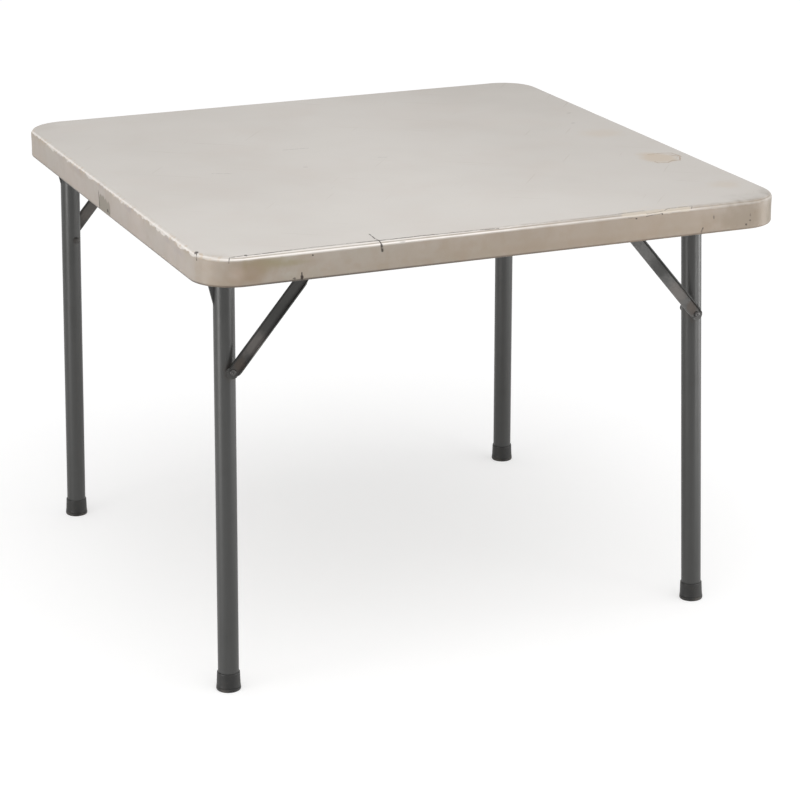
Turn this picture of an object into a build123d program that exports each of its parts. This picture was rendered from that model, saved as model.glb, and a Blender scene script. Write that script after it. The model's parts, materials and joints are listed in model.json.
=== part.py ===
"""Square folding card table with a moulded plastic top and two folding steel leg frames.

Millimetres, +Z up, the floor at z = 0 under the middle of the top. The left frame
folds towards +X and the right frame towards -X. The right frame is narrower, so
its legs lie between the legs of the left frame when both are folded. Each leg has
a pressed brace on its outer side, whose upper end runs in a track under the top.
"""
import math
import os

from build123d import *

# Top
top_width = 940.0
table_height = 690.0
corner_radius = 64.0
rim_depth = 45.0
rim_width = 20.0
rim_edge_radius = 8.0
rim_foot_radius = 3.0
deck_thickness = 23.0
recess_corner_radius = 40.0
recess_root_radius = 5.0

# Pits pressed into the underside, where the lower skin meets the upper one
pit_radius = 11.0
pit_floor_radius = 6.0
pit_depth = 14.0
pit_pitch_x = 92.0
pit_pitch_y = 94.0
pit_columns = 8
pit_rows = 7

# Steel tube of the leg frames
tube_diameter = 31.75
tube_wall = 1.2
cross_tube_overhang = 4.0

# Where the feet stand, measured inwards from the sides of the top
left_foot_inset_x = 48.0
right_foot_inset_x = 80.0
left_foot_inset_y = 71.0
right_foot_inset_y = 108.0
left_lean_degrees = 0.85
right_lean_degrees = 1.15
left_splay_degrees = 1.0
right_splay_degrees = 2.0

# Pivot bearings
bush_wall = 1.5
bush_length = 34.0
strap_thickness = 2.5
strap_width = 30.0
strap_ear = 12.0
strap_inset = 46.0

# Clearances
running_clearance = 0.05
seat_clearance = 0.1
guide_clearance = 0.3
overrun = 5.0

# Braces, measured from the rivet through the leg to the guide wheel in the track
left_rivet_drop = 188.0
right_rivet_drop = 204.0
rivet_inset = 5.0
brace_angle = 50.0
brace_width = 20.0
brace_sheet = 2.0
brace_flange = 3.5
flange_run_out = 8.0
flange_gap_at_rivet = 8.0
flange_gap_at_wheel = 26.0
left_fold_degrees = 90.0
right_fold_degrees = 88.5

# Rivets and spacers at the lower end of the braces
rivet_radius = 4.0
rivet_head_radius = 7.0
rivet_head_height = 2.6
rivet_tail_radius = 6.0
rivet_tail_height = 2.0
spacer_radius = 6.5
spacer_margin = 0.6

# Guide wheels at the upper end of the braces
wheel_margin = 0.5
wheel_thickness = 5.0
wheel_pin_radius = 2.5
wheel_pin_head_radius = 4.0
wheel_pin_head_height = 1.4
wheel_edge_chamfer = 0.6

# Tracks under the top
track_wall = 1.5
track_outer_depth = 12.0
track_inner_depth = 5.0
track_flange = 15.0
track_run_in = 12.0
stop_tab_thickness = 1.5
track_screw_shares = (0.08, 0.5, 0.92)

# Catch springs in the tracks
catch_sheet = 0.8
catch_width = 4.4
catch_lead = 9.0
catch_bump_length = 8.0
catch_bump_depth = 2.4
catch_tail_length = 24.0

# Screws into the top
screw_radius = 2.0
screw_length = 12.0
screw_head_radius = 4.0
screw_head_height = 1.8

# Stop plates on the outer side of the leg tops
gusset_thickness = 3.0
gusset_length = 51.0
gusset_reach = 12.0
gusset_drop = 4.0

# Feet
foot_socket_depth = 24.0
foot_floor = 5.0
foot_top_radius = 17.6
foot_base_radius = 19.0
foot_lip_radius = 3.5
foot_top_rounding = 1.0
foot_sink = 1.0

# Plugs in the ends of the cross tubes
plug_rim = 1.6
plug_depth = 10.0
plug_wall = 1.5

# Sizes that follow from the ones above
tube_radius = tube_diameter / 2
tube_bore_radius = tube_radius - tube_wall
deck_underside = table_height - deck_thickness
bush_bore_radius = tube_radius + running_clearance
bush_radius = bush_bore_radius + bush_wall
pivot_height = deck_underside - seat_clearance - bush_radius
strap_bore_radius = bush_radius + running_clearance
wheel_radius = brace_width / 2 + wheel_margin
track_roof = deck_underside - track_wall
wheel_height = track_roof - guide_clearance - wheel_radius
rivet_hole_radius = rivet_radius + running_clearance
wheel_pin_length = brace_sheet + seat_clearance + wheel_thickness
gusset_top_offset = tube_radius + gusset_reach
half_width = top_width / 2


def rotate_about(point, centre, degrees):
    """Turns an (x, z) point about another, towards +X from -Z for a positive angle."""
    turn = math.radians(degrees)
    dx = point[0] - centre[0]
    dz = point[1] - centre[1]
    x = centre[0] + dx * math.cos(turn) - dz * math.sin(turn)
    z = centre[1] + dx * math.sin(turn) + dz * math.cos(turn)
    return x, z


class Side:
    """Places of one leg frame, where inward is +1 for the left frame and -1 for the right."""

    def __init__(self, name, inward, foot_inset_x, foot_inset_y, lean_degrees, splay_degrees):
        self.name = name
        self.inward = inward
        self.lean_slope = math.tan(math.radians(lean_degrees))
        self.splay_slope = math.tan(math.radians(splay_degrees))
        self.foot_x = -inward * (half_width - foot_inset_x)
        self.foot_y = half_width - foot_inset_y
        self.pivot_x = self.foot_x + inward * pivot_height * self.lean_slope
        self.top_y = self.foot_y - pivot_height * self.splay_slope

    def add_brace(self, rivet_drop, fold_degrees):
        """Places of the two braces, and how far they turn while the frame folds."""
        inward = self.inward
        self.rivet_height = table_height - rivet_drop
        below_pivot = pivot_height - self.rivet_height
        self.rivet_x = self.pivot_x + inward * (rivet_inset - below_pivot * self.lean_slope)
        self.leg_y_at_rivet = self.foot_y - self.rivet_height * self.splay_slope
        brace_rise = wheel_height - self.rivet_height
        self.brace_length = brace_rise / math.sin(math.radians(brace_angle))
        self.wheel_x = self.rivet_x + inward * brace_rise / math.tan(math.radians(brace_angle))
        # Beside the folded brace the splayed leg stands out by this much
        drift = (self.brace_length + wheel_radius) * self.splay_slope
        self.plate_y = self.leg_y_at_rivet + tube_radius + drift + spacer_margin
        # Where the wheel stands in the track with the frame folded
        folded_rivet = rotate_about(
            (inward * self.rivet_x, self.rivet_height),
            (inward * self.pivot_x, pivot_height),
            fold_degrees,
        )
        folded_rise = wheel_height - folded_rivet[1]
        folded_angle = math.asin(folded_rise / self.brace_length)
        folded_run = self.brace_length * math.cos(folded_angle)
        self.folded_wheel_x = inward * (folded_rivet[0] + folded_run)
        self.brace_turn = fold_degrees + brace_angle - math.degrees(folded_angle)
        self.brace_ratio = self.brace_turn / fold_degrees

    def foot_plane(self, outward):
        """Plane at the foot of a leg, with its normal up along the leg."""
        return Plane(
            origin=(self.foot_x, outward * self.foot_y, 0),
            z_dir=(self.inward * self.lean_slope, -outward * self.splay_slope, 1),
        )

    def leg_length(self):
        return pivot_height * math.sqrt(1 + self.lean_slope**2 + self.splay_slope**2)


left = Side("left", 1, left_foot_inset_x, left_foot_inset_y, left_lean_degrees, left_splay_degrees)
left.add_brace(left_rivet_drop, left_fold_degrees)
right = Side(
    "right", -1, right_foot_inset_x, right_foot_inset_y, right_lean_degrees, right_splay_degrees
)
right.add_brace(right_rivet_drop, right_fold_degrees)
sides = (left, right)
ends = (("front", -1), ("back", 1))


def across(x, y, z, outward):
    """Plane square to Y at a point, with its normal away from the middle of the table."""
    return Plane(origin=(x, outward * y, z), x_dir=(1, 0, 0), z_dir=(0, outward, 0))


def at_rivet(side, y, outward):
    """Plane square to the rivet of a brace, as far along Y as given."""
    return across(side.rivet_x, y, side.rivet_height, outward)


def save(builder, name):
    """Labels a finished piece and writes its file."""
    builder.part.label = name
    export_step(builder.part, f"parts/{name}.step")


def track_span(side):
    """Outer and inner end of a track, as distances along X from the resting wheel."""
    travel = abs(side.folded_wheel_x - side.wheel_x)
    outer_end = -(wheel_radius + guide_clearance)
    inner_end = travel + wheel_radius + track_run_in
    return outer_end, inner_end


def track_flange_middle(side):
    """Middle of the strip of a track that takes the screws, as a distance along Y."""
    return track_walls(side)[1] + track_wall + track_flange / 2


def track_walls(side):
    """Inner faces of the two walls of a track, as distances along Y."""
    inner = side.plate_y - guide_clearance
    outer = side.plate_y + wheel_pin_length + guide_clearance
    return inner, outer


def track_screw_places(side, outward):
    """Centres of the screws of one track."""
    outer_end, inner_end = track_span(side)
    y = outward * track_flange_middle(side)
    places = []
    for share in track_screw_shares:
        x = side.wheel_x + side.inward * (outer_end + share * (inner_end - outer_end))
        places.append((x, y))
    return places


def strap_middle(side):
    """Middle of a strap, as a distance along Y."""
    return side.top_y - strap_inset


def strap_screw_places(side, outward):
    """Centres of the two screws of one strap."""
    reach = strap_bore_radius + strap_thickness + strap_ear / 2
    y = outward * strap_middle(side)
    return [(side.pivot_x - reach, y), (side.pivot_x + reach, y)]


track_screws_at = []
strap_screws_at = []
for side in sides:
    for end_name, outward in ends:
        track_screws_at += track_screw_places(side, outward)
        strap_screws_at += strap_screw_places(side, outward)


# Moulded top: rounded slab with a deep rim, a recess for the legs and pits in its floor
def make_tabletop():
    with BuildPart() as tabletop:
        with BuildSketch(Plane.XY.offset(table_height)):
            RectangleRounded(top_width, top_width, corner_radius)
        extrude(amount=-rim_depth)
        fillet(tabletop.faces().sort_by(Axis.Z)[-1].edges(), rim_edge_radius)
        fillet(tabletop.faces().sort_by(Axis.Z)[0].edges(), rim_foot_radius)
        recess_width = top_width - 2 * rim_width
        with BuildSketch(Plane.XY.offset(table_height - rim_depth)):
            RectangleRounded(recess_width, recess_width, recess_corner_radius)
        extrude(amount=rim_depth - deck_thickness, mode=Mode.SUBTRACT)
        recess_floor = tabletop.faces().filter_by(GeomType.PLANE).filter_by(Axis.Z)
        recess_floor = recess_floor.group_by(Axis.Z)[1]
        fillet(recess_floor.edges(), recess_root_radius)
        with Locations(Plane.XY.offset(deck_underside)):
            with GridLocations(pit_pitch_x, pit_pitch_y, pit_columns, pit_rows):
                Cone(
                    pit_radius,
                    pit_floor_radius,
                    pit_depth,
                    align=(Align.CENTER, Align.CENTER, Align.MIN),
                    mode=Mode.SUBTRACT,
                )
        with BuildSketch(Plane.XY.offset(deck_underside)):
            with Locations(*track_screws_at, *strap_screws_at):
                Circle(screw_radius)
        extrude(amount=screw_length, mode=Mode.SUBTRACT)
    save(tabletop, "tabletop")


# Screws: pan heads under the tracks and straps, shanks up into the top
def make_screws(name, places, sheet):
    head_seat = deck_underside - sheet
    with BuildPart() as screws:
        with BuildSketch(Plane.XY.offset(head_seat)):
            with Locations(*places):
                Circle(screw_radius)
        extrude(amount=sheet + screw_length - seat_clearance)
        with BuildSketch(Plane.XY.offset(head_seat)):
            with Locations(*places):
                Circle(screw_head_radius)
        extrude(amount=-screw_head_height)
        fillet(screws.faces().group_by(Axis.Z)[0].edges(), screw_head_height / 2)
    save(screws, name)


# Track: strip on the underside with two walls that guide the wheel, and a stop tab
def make_track(side, end_name, outward):
    outer_end, inner_end = track_span(side)
    inner_wall, outer_wall = track_walls(side)
    start_x = side.wheel_x + side.inward * outer_end
    length = inner_end - outer_end
    profile = Plane(
        origin=(start_x, 0, deck_underside),
        x_dir=(0, outward, 0),
        z_dir=(side.inward, 0, 0),
    )
    # The profile's own y axis points up or down with the hand of the plane
    down = -profile.y_dir.Z
    strip_low = inner_wall - track_wall
    strip_high = outer_wall + track_wall + track_flange
    with BuildPart() as track:
        with BuildSketch(profile):
            with Locations(((strip_low + strip_high) / 2, down * track_wall / 2)):
                Rectangle(strip_high - strip_low, track_wall)
            inner_height = track_wall + track_inner_depth
            with Locations((inner_wall - track_wall / 2, down * inner_height / 2)):
                Rectangle(track_wall, inner_height)
            outer_height = track_wall + track_outer_depth
            with Locations((outer_wall + track_wall / 2, down * outer_height / 2)):
                Rectangle(track_wall, outer_height)
        extrude(amount=length)
        tab_plane = Plane(
            origin=(start_x, 0, deck_underside),
            x_dir=(0, outward, 0),
            z_dir=(-side.inward, 0, 0),
        )
        tab_down = -tab_plane.y_dir.Z
        tab_low = side.plate_y + brace_sheet + guide_clearance
        tab_high = outer_wall + track_wall
        with BuildSketch(tab_plane):
            with Locations(((tab_low + tab_high) / 2, tab_down * outer_height / 2)):
                Rectangle(tab_high - tab_low, outer_height)
        extrude(amount=stop_tab_thickness)
        with BuildSketch(Plane.XY.offset(deck_underside + overrun)):
            with Locations(*track_screw_places(side, outward)):
                Circle(screw_radius + running_clearance)
        extrude(amount=-(track_wall + 2 * overrun), mode=Mode.SUBTRACT)
    save(track, f"{side.name}_{end_name}_track")


# Catch spring: leaf under the roof of the track, with a bump just inside the resting wheel
def make_catch(side, end_name, outward):
    middle_y = side.plate_y + wheel_pin_length - wheel_thickness / 2
    start_x = side.wheel_x + side.inward * catch_lead
    plane = Plane(
        origin=(start_x, outward * (middle_y - catch_width / 2), track_roof),
        x_dir=(side.inward, 0, 0),
        z_dir=(0, outward, 0),
    )
    down = -plane.y_dir.Z
    bump_middle = catch_bump_length / 2
    tail_end = catch_bump_length + catch_tail_length
    with BuildPart() as catch:
        with BuildSketch(plane):
            with BuildLine():
                Polyline((tail_end, down * catch_sheet), (tail_end, 0), (0, 0))
                ThreePointArc(
                    (0, 0),
                    (bump_middle, down * catch_bump_depth),
                    (catch_bump_length, down * catch_sheet),
                )
                Line((catch_bump_length, down * catch_sheet), (tail_end, down * catch_sheet))
            make_face()
        extrude(amount=catch_width)
    save(catch, f"{side.name}_{end_name}_catch_spring")


# Strap: U bent round the bearing bush, with an ear on each side screwed to the top
def make_strap(side, end_name, outward):
    outer_radius = strap_bore_radius + strap_thickness
    rise = deck_underside - pivot_height
    plane = across(side.pivot_x, strap_middle(side) - strap_width / 2, pivot_height, outward)
    up = plane.y_dir.Z
    with BuildPart() as strap:
        with BuildSketch(plane):
            Circle(outer_radius)
            with Locations((0, up * rise / 2)):
                Rectangle(2 * outer_radius, rise)
            with Locations((0, up * (rise - strap_thickness / 2))):
                Rectangle(2 * (outer_radius + strap_ear), strap_thickness)
            Circle(strap_bore_radius, mode=Mode.SUBTRACT)
            with Locations((0, up * (rise + overrun) / 2)):
                Rectangle(2 * strap_bore_radius, rise + overrun, mode=Mode.SUBTRACT)
        extrude(amount=strap_width)
        with BuildSketch(Plane.XY.offset(deck_underside + overrun)):
            with Locations(*strap_screw_places(side, outward)):
                Circle(screw_radius + running_clearance)
        extrude(amount=-(strap_thickness + 2 * overrun), mode=Mode.SUBTRACT)
    save(strap, f"{side.name}_{end_name}_pivot_strap")


# Bush: plastic ring in the strap, in which the cross tube turns
def make_bush(side, end_name, outward):
    with BuildPart() as bush:
        with BuildSketch(across(side.pivot_x, strap_middle(side) - bush_length / 2, pivot_height, outward)):
            Circle(bush_radius)
            Circle(bush_bore_radius, mode=Mode.SUBTRACT)
        extrude(amount=bush_length)
    save(bush, f"{side.name}_{end_name}_pivot_bush")


# Cross tube: top of the frame, turning in the two bushes
def make_cross_tube(side):
    half_length = side.top_y + tube_radius + cross_tube_overhang
    with BuildPart() as cross_tube:
        with BuildSketch(across(side.pivot_x, 0, pivot_height, 1)):
            Circle(tube_radius)
            Circle(tube_bore_radius, mode=Mode.SUBTRACT)
        extrude(amount=half_length, both=True)
    save(cross_tube, f"{side.name}_cross_tube")


# Plugs: flat-headed caps pushed into the ends of the cross tube
def make_plugs(side):
    end_y = side.top_y + tube_radius + cross_tube_overhang
    shank_radius = tube_bore_radius - running_clearance
    with BuildPart() as plugs:
        for end_name, outward in ends:
            with BuildSketch(across(side.pivot_x, end_y, pivot_height, outward)):
                Circle(tube_radius)
            extrude(amount=plug_rim)
            with BuildSketch(across(side.pivot_x, end_y - plug_depth, pivot_height, outward)):
                Circle(shank_radius)
                Circle(shank_radius - plug_wall, mode=Mode.SUBTRACT)
            extrude(amount=plug_depth)
    save(plugs, f"{side.name}_tube_plugs")


# Leg: round tube, mitred over the cross tube and drilled for the rivet
def make_leg(side, end_name, outward):
    with BuildPart() as leg:
        with BuildSketch(side.foot_plane(outward).offset(foot_floor)):
            Circle(tube_radius)
            Circle(tube_bore_radius, mode=Mode.SUBTRACT)
        extrude(amount=side.leg_length() - foot_floor)
        with BuildSketch(across(side.pivot_x, side.top_y - 2 * tube_radius, pivot_height, outward)):
            Circle(tube_radius)
        extrude(amount=4 * tube_radius, mode=Mode.SUBTRACT)
        with BuildSketch(at_rivet(side, side.leg_y_at_rivet - 2 * tube_radius, outward)):
            Circle(rivet_hole_radius)
        extrude(amount=4 * tube_radius, mode=Mode.SUBTRACT)
    save(leg, f"{side.name}_{end_name}_leg")


# Stop plate: slim triangle welded to the outer side of the leg top
def make_gusset(side, end_name, outward):
    foot = side.foot_plane(outward)
    up = foot.z_dir
    top = foot.origin + up * side.leg_length()
    plane = Plane(origin=top, x_dir=(-side.inward, 0, side.lean_slope), z_dir=(0, outward, side.splay_slope))
    down = -math.copysign(1, plane.y_dir.Z)
    with BuildPart() as gusset:
        with BuildSketch(plane):
            with BuildLine():
                Polyline(
                    (0, down * gusset_drop),
                    (gusset_top_offset, down * gusset_drop),
                    (tube_radius, down * gusset_length),
                    (0, down * gusset_length),
                    close=True,
                )
            make_face()
        extrude(amount=gusset_thickness / 2, both=True)
        with BuildSketch(foot):
            Circle(tube_radius)
        extrude(amount=side.leg_length() + overrun, mode=Mode.SUBTRACT)
        with BuildSketch(across(side.pivot_x, side.top_y - 2 * tube_radius, pivot_height, outward)):
            Circle(tube_radius)
        extrude(amount=4 * tube_radius, mode=Mode.SUBTRACT)
    save(gusset, f"{side.name}_{end_name}_stop_plate")


# Foot: flared plastic cap on the end of the leg, cut level with the floor
def make_foot(side, end_name, outward):
    height = foot_floor + foot_socket_depth
    plane = side.foot_plane(outward)
    profile = Plane(origin=plane.origin, x_dir=plane.x_dir, z_dir=-plane.y_dir)
    with BuildPart() as foot:
        with BuildSketch(profile):
            with BuildLine():
                Polyline(
                    (0, -foot_sink),
                    (foot_base_radius - foot_lip_radius, -foot_sink),
                )
                RadiusArc(
                    (foot_base_radius - foot_lip_radius, -foot_sink),
                    (foot_base_radius, foot_lip_radius - foot_sink),
                    -foot_lip_radius,
                )
                Polyline(
                    (foot_base_radius, foot_lip_radius - foot_sink),
                    (foot_top_radius, height - foot_top_rounding),
                    (foot_top_radius - foot_top_rounding, height),
                    (tube_radius + running_clearance, height),
                    (tube_radius + running_clearance, foot_floor),
                    (0, foot_floor),
                    (0, -foot_sink),
                )
            make_face()
        revolve(axis=Axis(plane.origin, plane.z_dir), revolution_arc=360)
        split(bisect_by=Plane.XY, keep=Keep.TOP)
    save(foot, f"{side.name}_{end_name}_foot")


# Spacer: short collar on the rivet between the leg and the brace
def make_spacer(side, end_name, outward):
    start = side.leg_y_at_rivet
    with BuildPart() as spacer:
        with BuildSketch(at_rivet(side, start, outward)):
            Circle(spacer_radius)
            Circle(rivet_hole_radius, mode=Mode.SUBTRACT)
        extrude(amount=side.plate_y - seat_clearance - start)
        with BuildSketch(side.foot_plane(outward)):
            Circle(tube_radius)
        extrude(amount=side.leg_length(), mode=Mode.SUBTRACT)
    save(spacer, f"{side.name}_{end_name}_spacer")


# Rivet: through the leg, the spacer and the brace, with a domed head outside
def make_rivet(side, end_name, outward):
    tail_face = side.leg_y_at_rivet - tube_radius - side.splay_slope * rivet_tail_radius
    head_face = side.plate_y + brace_sheet + seat_clearance
    with BuildPart() as rivet:
        with BuildSketch(at_rivet(side, tail_face, outward)):
            Circle(rivet_radius)
        extrude(amount=head_face - tail_face)
        with BuildSketch(at_rivet(side, tail_face - rivet_tail_height, outward)):
            Circle(rivet_tail_radius)
        extrude(amount=rivet_tail_height)
        with BuildSketch(at_rivet(side, head_face, outward)):
            Circle(rivet_head_radius)
        extrude(amount=rivet_head_height)
        outer_rim = rivet.edges().filter_by(GeomType.CIRCLE).sort_by(Axis.Y)[-1 if outward > 0 else 0]
        fillet(outer_rim, rivet_head_height * 3 / 4)
    save(rivet, f"{side.name}_{end_name}_rivet")


def brace_plane(side, outward, y):
    """Plane at the rivet with its x axis along the brace and its normal outwards."""
    angle = math.radians(brace_angle)
    return Plane(
        origin=(side.rivet_x, outward * y, side.rivet_height),
        x_dir=(side.inward * math.cos(angle), 0, math.sin(angle)),
        z_dir=(0, outward, 0),
    )


# Brace: pressed strip with turned-out edges and flat round ends
def make_brace(side, end_name, outward):
    with BuildPart() as brace:
        with BuildSketch(brace_plane(side, outward, side.plate_y)):
            with Locations((side.brace_length / 2, 0)):
                SlotCenterToCenter(side.brace_length, brace_width)
            Circle(rivet_hole_radius, mode=Mode.SUBTRACT)
            with Locations((side.brace_length, 0)):
                Circle(wheel_pin_radius, mode=Mode.SUBTRACT)
        extrude(amount=brace_sheet)
        flange_start = flange_gap_at_rivet
        flange_end = side.brace_length - flange_gap_at_wheel
        for edge in (-1, 1):
            face_at = edge * brace_width / 2
            plane = brace_plane(side, outward, side.plate_y)
            web = Plane(
                origin=plane.origin + plane.y_dir * face_at,
                x_dir=plane.x_dir,
                z_dir=plane.y_dir * -edge,
            )
            out = math.copysign(1, web.y_dir.Y * outward)
            with BuildSketch(web):
                with BuildLine():
                    Polyline(
                        (flange_start, 0),
                        (flange_start, out * brace_sheet),
                        (flange_start + flange_run_out, out * (brace_sheet + brace_flange)),
                        (flange_end - flange_run_out, out * (brace_sheet + brace_flange)),
                        (flange_end, out * brace_sheet),
                        (flange_end, 0),
                        close=True,
                    )
                make_face()
            extrude(amount=brace_sheet)
    save(brace, f"{side.name}_{end_name}_brace")


# Guide wheel: plastic disc on a pin at the upper end of the brace
def make_wheel(side, end_name, outward):
    face = side.plate_y + brace_sheet + seat_clearance
    with BuildPart() as wheel:
        with BuildSketch(across(side.wheel_x, face, wheel_height, outward)):
            Circle(wheel_radius)
            Circle(wheel_pin_radius + running_clearance, mode=Mode.SUBTRACT)
        extrude(amount=wheel_thickness)
        outer_edges = wheel.edges().filter_by(GeomType.CIRCLE)
        outer_edges = outer_edges.filter_by(lambda edge: edge.radius > wheel_radius - running_clearance)
        chamfer(outer_edges, wheel_edge_chamfer)
    save(wheel, f"{side.name}_{end_name}_guide_wheel")


# Wheel pin: through the brace and the wheel, with its head on the leg side
def make_wheel_pin(side, end_name, outward):
    with BuildPart() as pin:
        with BuildSketch(across(side.wheel_x, side.plate_y, wheel_height, outward)):
            Circle(wheel_pin_radius)
        extrude(amount=wheel_pin_length)
        with BuildSketch(across(side.wheel_x, side.plate_y - wheel_pin_head_height, wheel_height, outward)):
            Circle(wheel_pin_head_radius)
        extrude(amount=wheel_pin_head_height)
    save(pin, f"{side.name}_{end_name}_wheel_pin")


def main():
    os.makedirs("parts", exist_ok=True)
    make_tabletop()
    make_screws("track_screws", track_screws_at, track_wall)
    make_screws("strap_screws", strap_screws_at, strap_thickness)
    for side in sides:
        make_cross_tube(side)
        make_plugs(side)
        for end_name, outward in ends:
            make_track(side, end_name, outward)
            make_catch(side, end_name, outward)
            make_strap(side, end_name, outward)
            make_bush(side, end_name, outward)
            make_leg(side, end_name, outward)
            make_gusset(side, end_name, outward)
            make_foot(side, end_name, outward)
            make_spacer(side, end_name, outward)
            make_rivet(side, end_name, outward)
            make_brace(side, end_name, outward)
            make_wheel(side, end_name, outward)
            make_wheel_pin(side, end_name, outward)
        print(
            f"{side.name}: pivot x {side.pivot_x:.3f} z {pivot_height:.3f},"
            f" rivet x {side.rivet_x:.3f} z {side.rivet_height:.3f} y {side.plate_y:.3f},"
            f" wheel x {side.wheel_x:.3f} to {side.folded_wheel_x:.3f} z {wheel_height:.3f},"
            f" brace {side.brace_length:.3f}, turn {side.brace_turn:.4f}, ratio {side.brace_ratio:.6f}"
        )


if __name__ == "__main__":
    main()
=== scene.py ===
"""Folding card table: a worn moulded plastic top on folding steel leg frames.

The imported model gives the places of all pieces. This file makes the moulded top, braces,
rivets, feet, weld beads and screws anew with finer forms, gives every piece its finish and
sets up the stage.
"""
import json
import math

import bmesh
import bpy
import numpy as np
from mathutils import Matrix, Vector


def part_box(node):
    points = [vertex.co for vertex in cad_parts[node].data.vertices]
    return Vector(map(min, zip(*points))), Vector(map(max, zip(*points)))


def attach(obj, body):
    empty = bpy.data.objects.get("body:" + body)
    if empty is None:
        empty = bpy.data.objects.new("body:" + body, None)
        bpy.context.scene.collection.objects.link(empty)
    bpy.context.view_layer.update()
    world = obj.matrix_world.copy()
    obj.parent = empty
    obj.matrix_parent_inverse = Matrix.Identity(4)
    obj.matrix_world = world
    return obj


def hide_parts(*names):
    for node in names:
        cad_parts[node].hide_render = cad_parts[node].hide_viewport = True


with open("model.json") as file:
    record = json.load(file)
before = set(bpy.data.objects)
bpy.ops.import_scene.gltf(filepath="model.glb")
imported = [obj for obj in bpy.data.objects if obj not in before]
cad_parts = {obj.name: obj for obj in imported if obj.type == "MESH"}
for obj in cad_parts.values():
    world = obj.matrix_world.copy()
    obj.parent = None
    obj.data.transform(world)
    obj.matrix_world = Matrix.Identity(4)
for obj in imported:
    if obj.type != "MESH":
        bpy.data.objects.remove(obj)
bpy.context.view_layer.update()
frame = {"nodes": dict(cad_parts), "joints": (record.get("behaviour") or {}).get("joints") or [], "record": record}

bl_info = {
    "name": "Folding card table",
    "version": (1, 0, 0),
    "blender": (4, 5, 0),
    "location": "3D View > Sidebar > Card table",
    "description": "Dresses the packed folding card table and sets up its stage",
    "category": "Object",
}

MM = 0.001
top_low, top_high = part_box("tabletop")
sides = ("left", "right")
ends = ("front", "back")
corners = [(side, f"{side}_{end}") for side in sides for end in ends]
joint_places = {joint["name"]: Vector(joint["pos_m"]) for joint in frame["joints"]}


def length(name, description, default_mm):
    """A length property, given in millimetres and kept in metres."""
    return bpy.props.FloatProperty(
        name=name, description=description, default=default_mm * MM, min=0.0, unit="LENGTH",
        subtype="DISTANCE", precision=4,
    )


def colour(name, description, red, green, blue):
    """A colour property, given as it shows on a screen and kept in linear values."""
    linear = [((c / 255 + 0.055) / 1.055) ** 2.4 for c in (red, green, blue)]
    return bpy.props.FloatVectorProperty(
        name=name, description=description, default=linear, subtype="COLOR", size=3,
        min=0.0, max=1.0,
    )


def amount(name, description, default, low=0.0, **settings):
    """A number that doesn't go below a limit."""
    return bpy.props.FloatProperty(
        name=name, description=description, default=default, min=low, **settings)


def bearing(name, description, degrees):
    """An angle of the camera, given in degrees."""
    return bpy.props.FloatProperty(
        name=name, description=description, default=math.radians(degrees), subtype="ANGLE")


class CardTableTop(bpy.types.PropertyGroup):
    corner_radius: length("Corner radius", "Radius of the top's corners seen from above", 64)
    edge_radius: length("Edge radius", "Rounding between the top's face and its rim", 8)
    foot_radius: length("Rim foot radius", "Rounding at the lower outer edge of the rim", 3)
    rim_width: length("Rim width", "Thickness of the rim round the recess", 20)
    deck_thickness: length("Deck thickness", "Thickness of the top over the recess", 23)
    recess_radius: length("Recess corner radius", "Radius of the recess corners", 40)
    root_radius: length("Recess root radius", "Rounding between recess wall and floor", 5)
    pit_radius: length("Pit radius", "Radius of a pit's mouth", 11)
    pit_floor_radius: length("Pit floor radius", "Radius of a pit's floor", 6)
    pit_depth: length("Pit depth", "Depth of the pits in the underside", 14)
    pit_pitch_x: length("Pit pitch in X", "Distance between the pits along X", 92)
    pit_pitch_y: length("Pit pitch in Y", "Distance between the pits along Y", 94)
    sag: length("Waviness", "Depth of the slow waves in the moulded face", 0.3)
    edge_wear: length("Edge wear", "Depth of the wear along the rounded edge", 0.5)
    peel_depth: length("Peel depth", "Depth of the place where the skin has peeled", 0.35)


class CardTableSteel(bpy.types.PropertyGroup):
    brace_width: length("Brace width", "Width of the pressed braces", 20)
    brace_sheet: length("Brace sheet", "Thickness of the braces' sheet", 2)
    brace_flange: length("Brace flange", "Height of the turned-out edges over the sheet", 3.5)
    bend_radius: length("Bend radius", "Outer radius of the bends in the braces", 2.8)
    weld_radius: length("Weld radius", "Radius of the weld beads", 2.0)
    weld_inset: length("Weld inset", "How deep the middle of a bead lies in the leg", 1.2)
    ripple: length("Weld ripple", "Height of the ripples in the weld beads", 0.3)
    rivet_dome: length("Rivet dome", "Height of the rivets' heads", 2.6)


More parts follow.
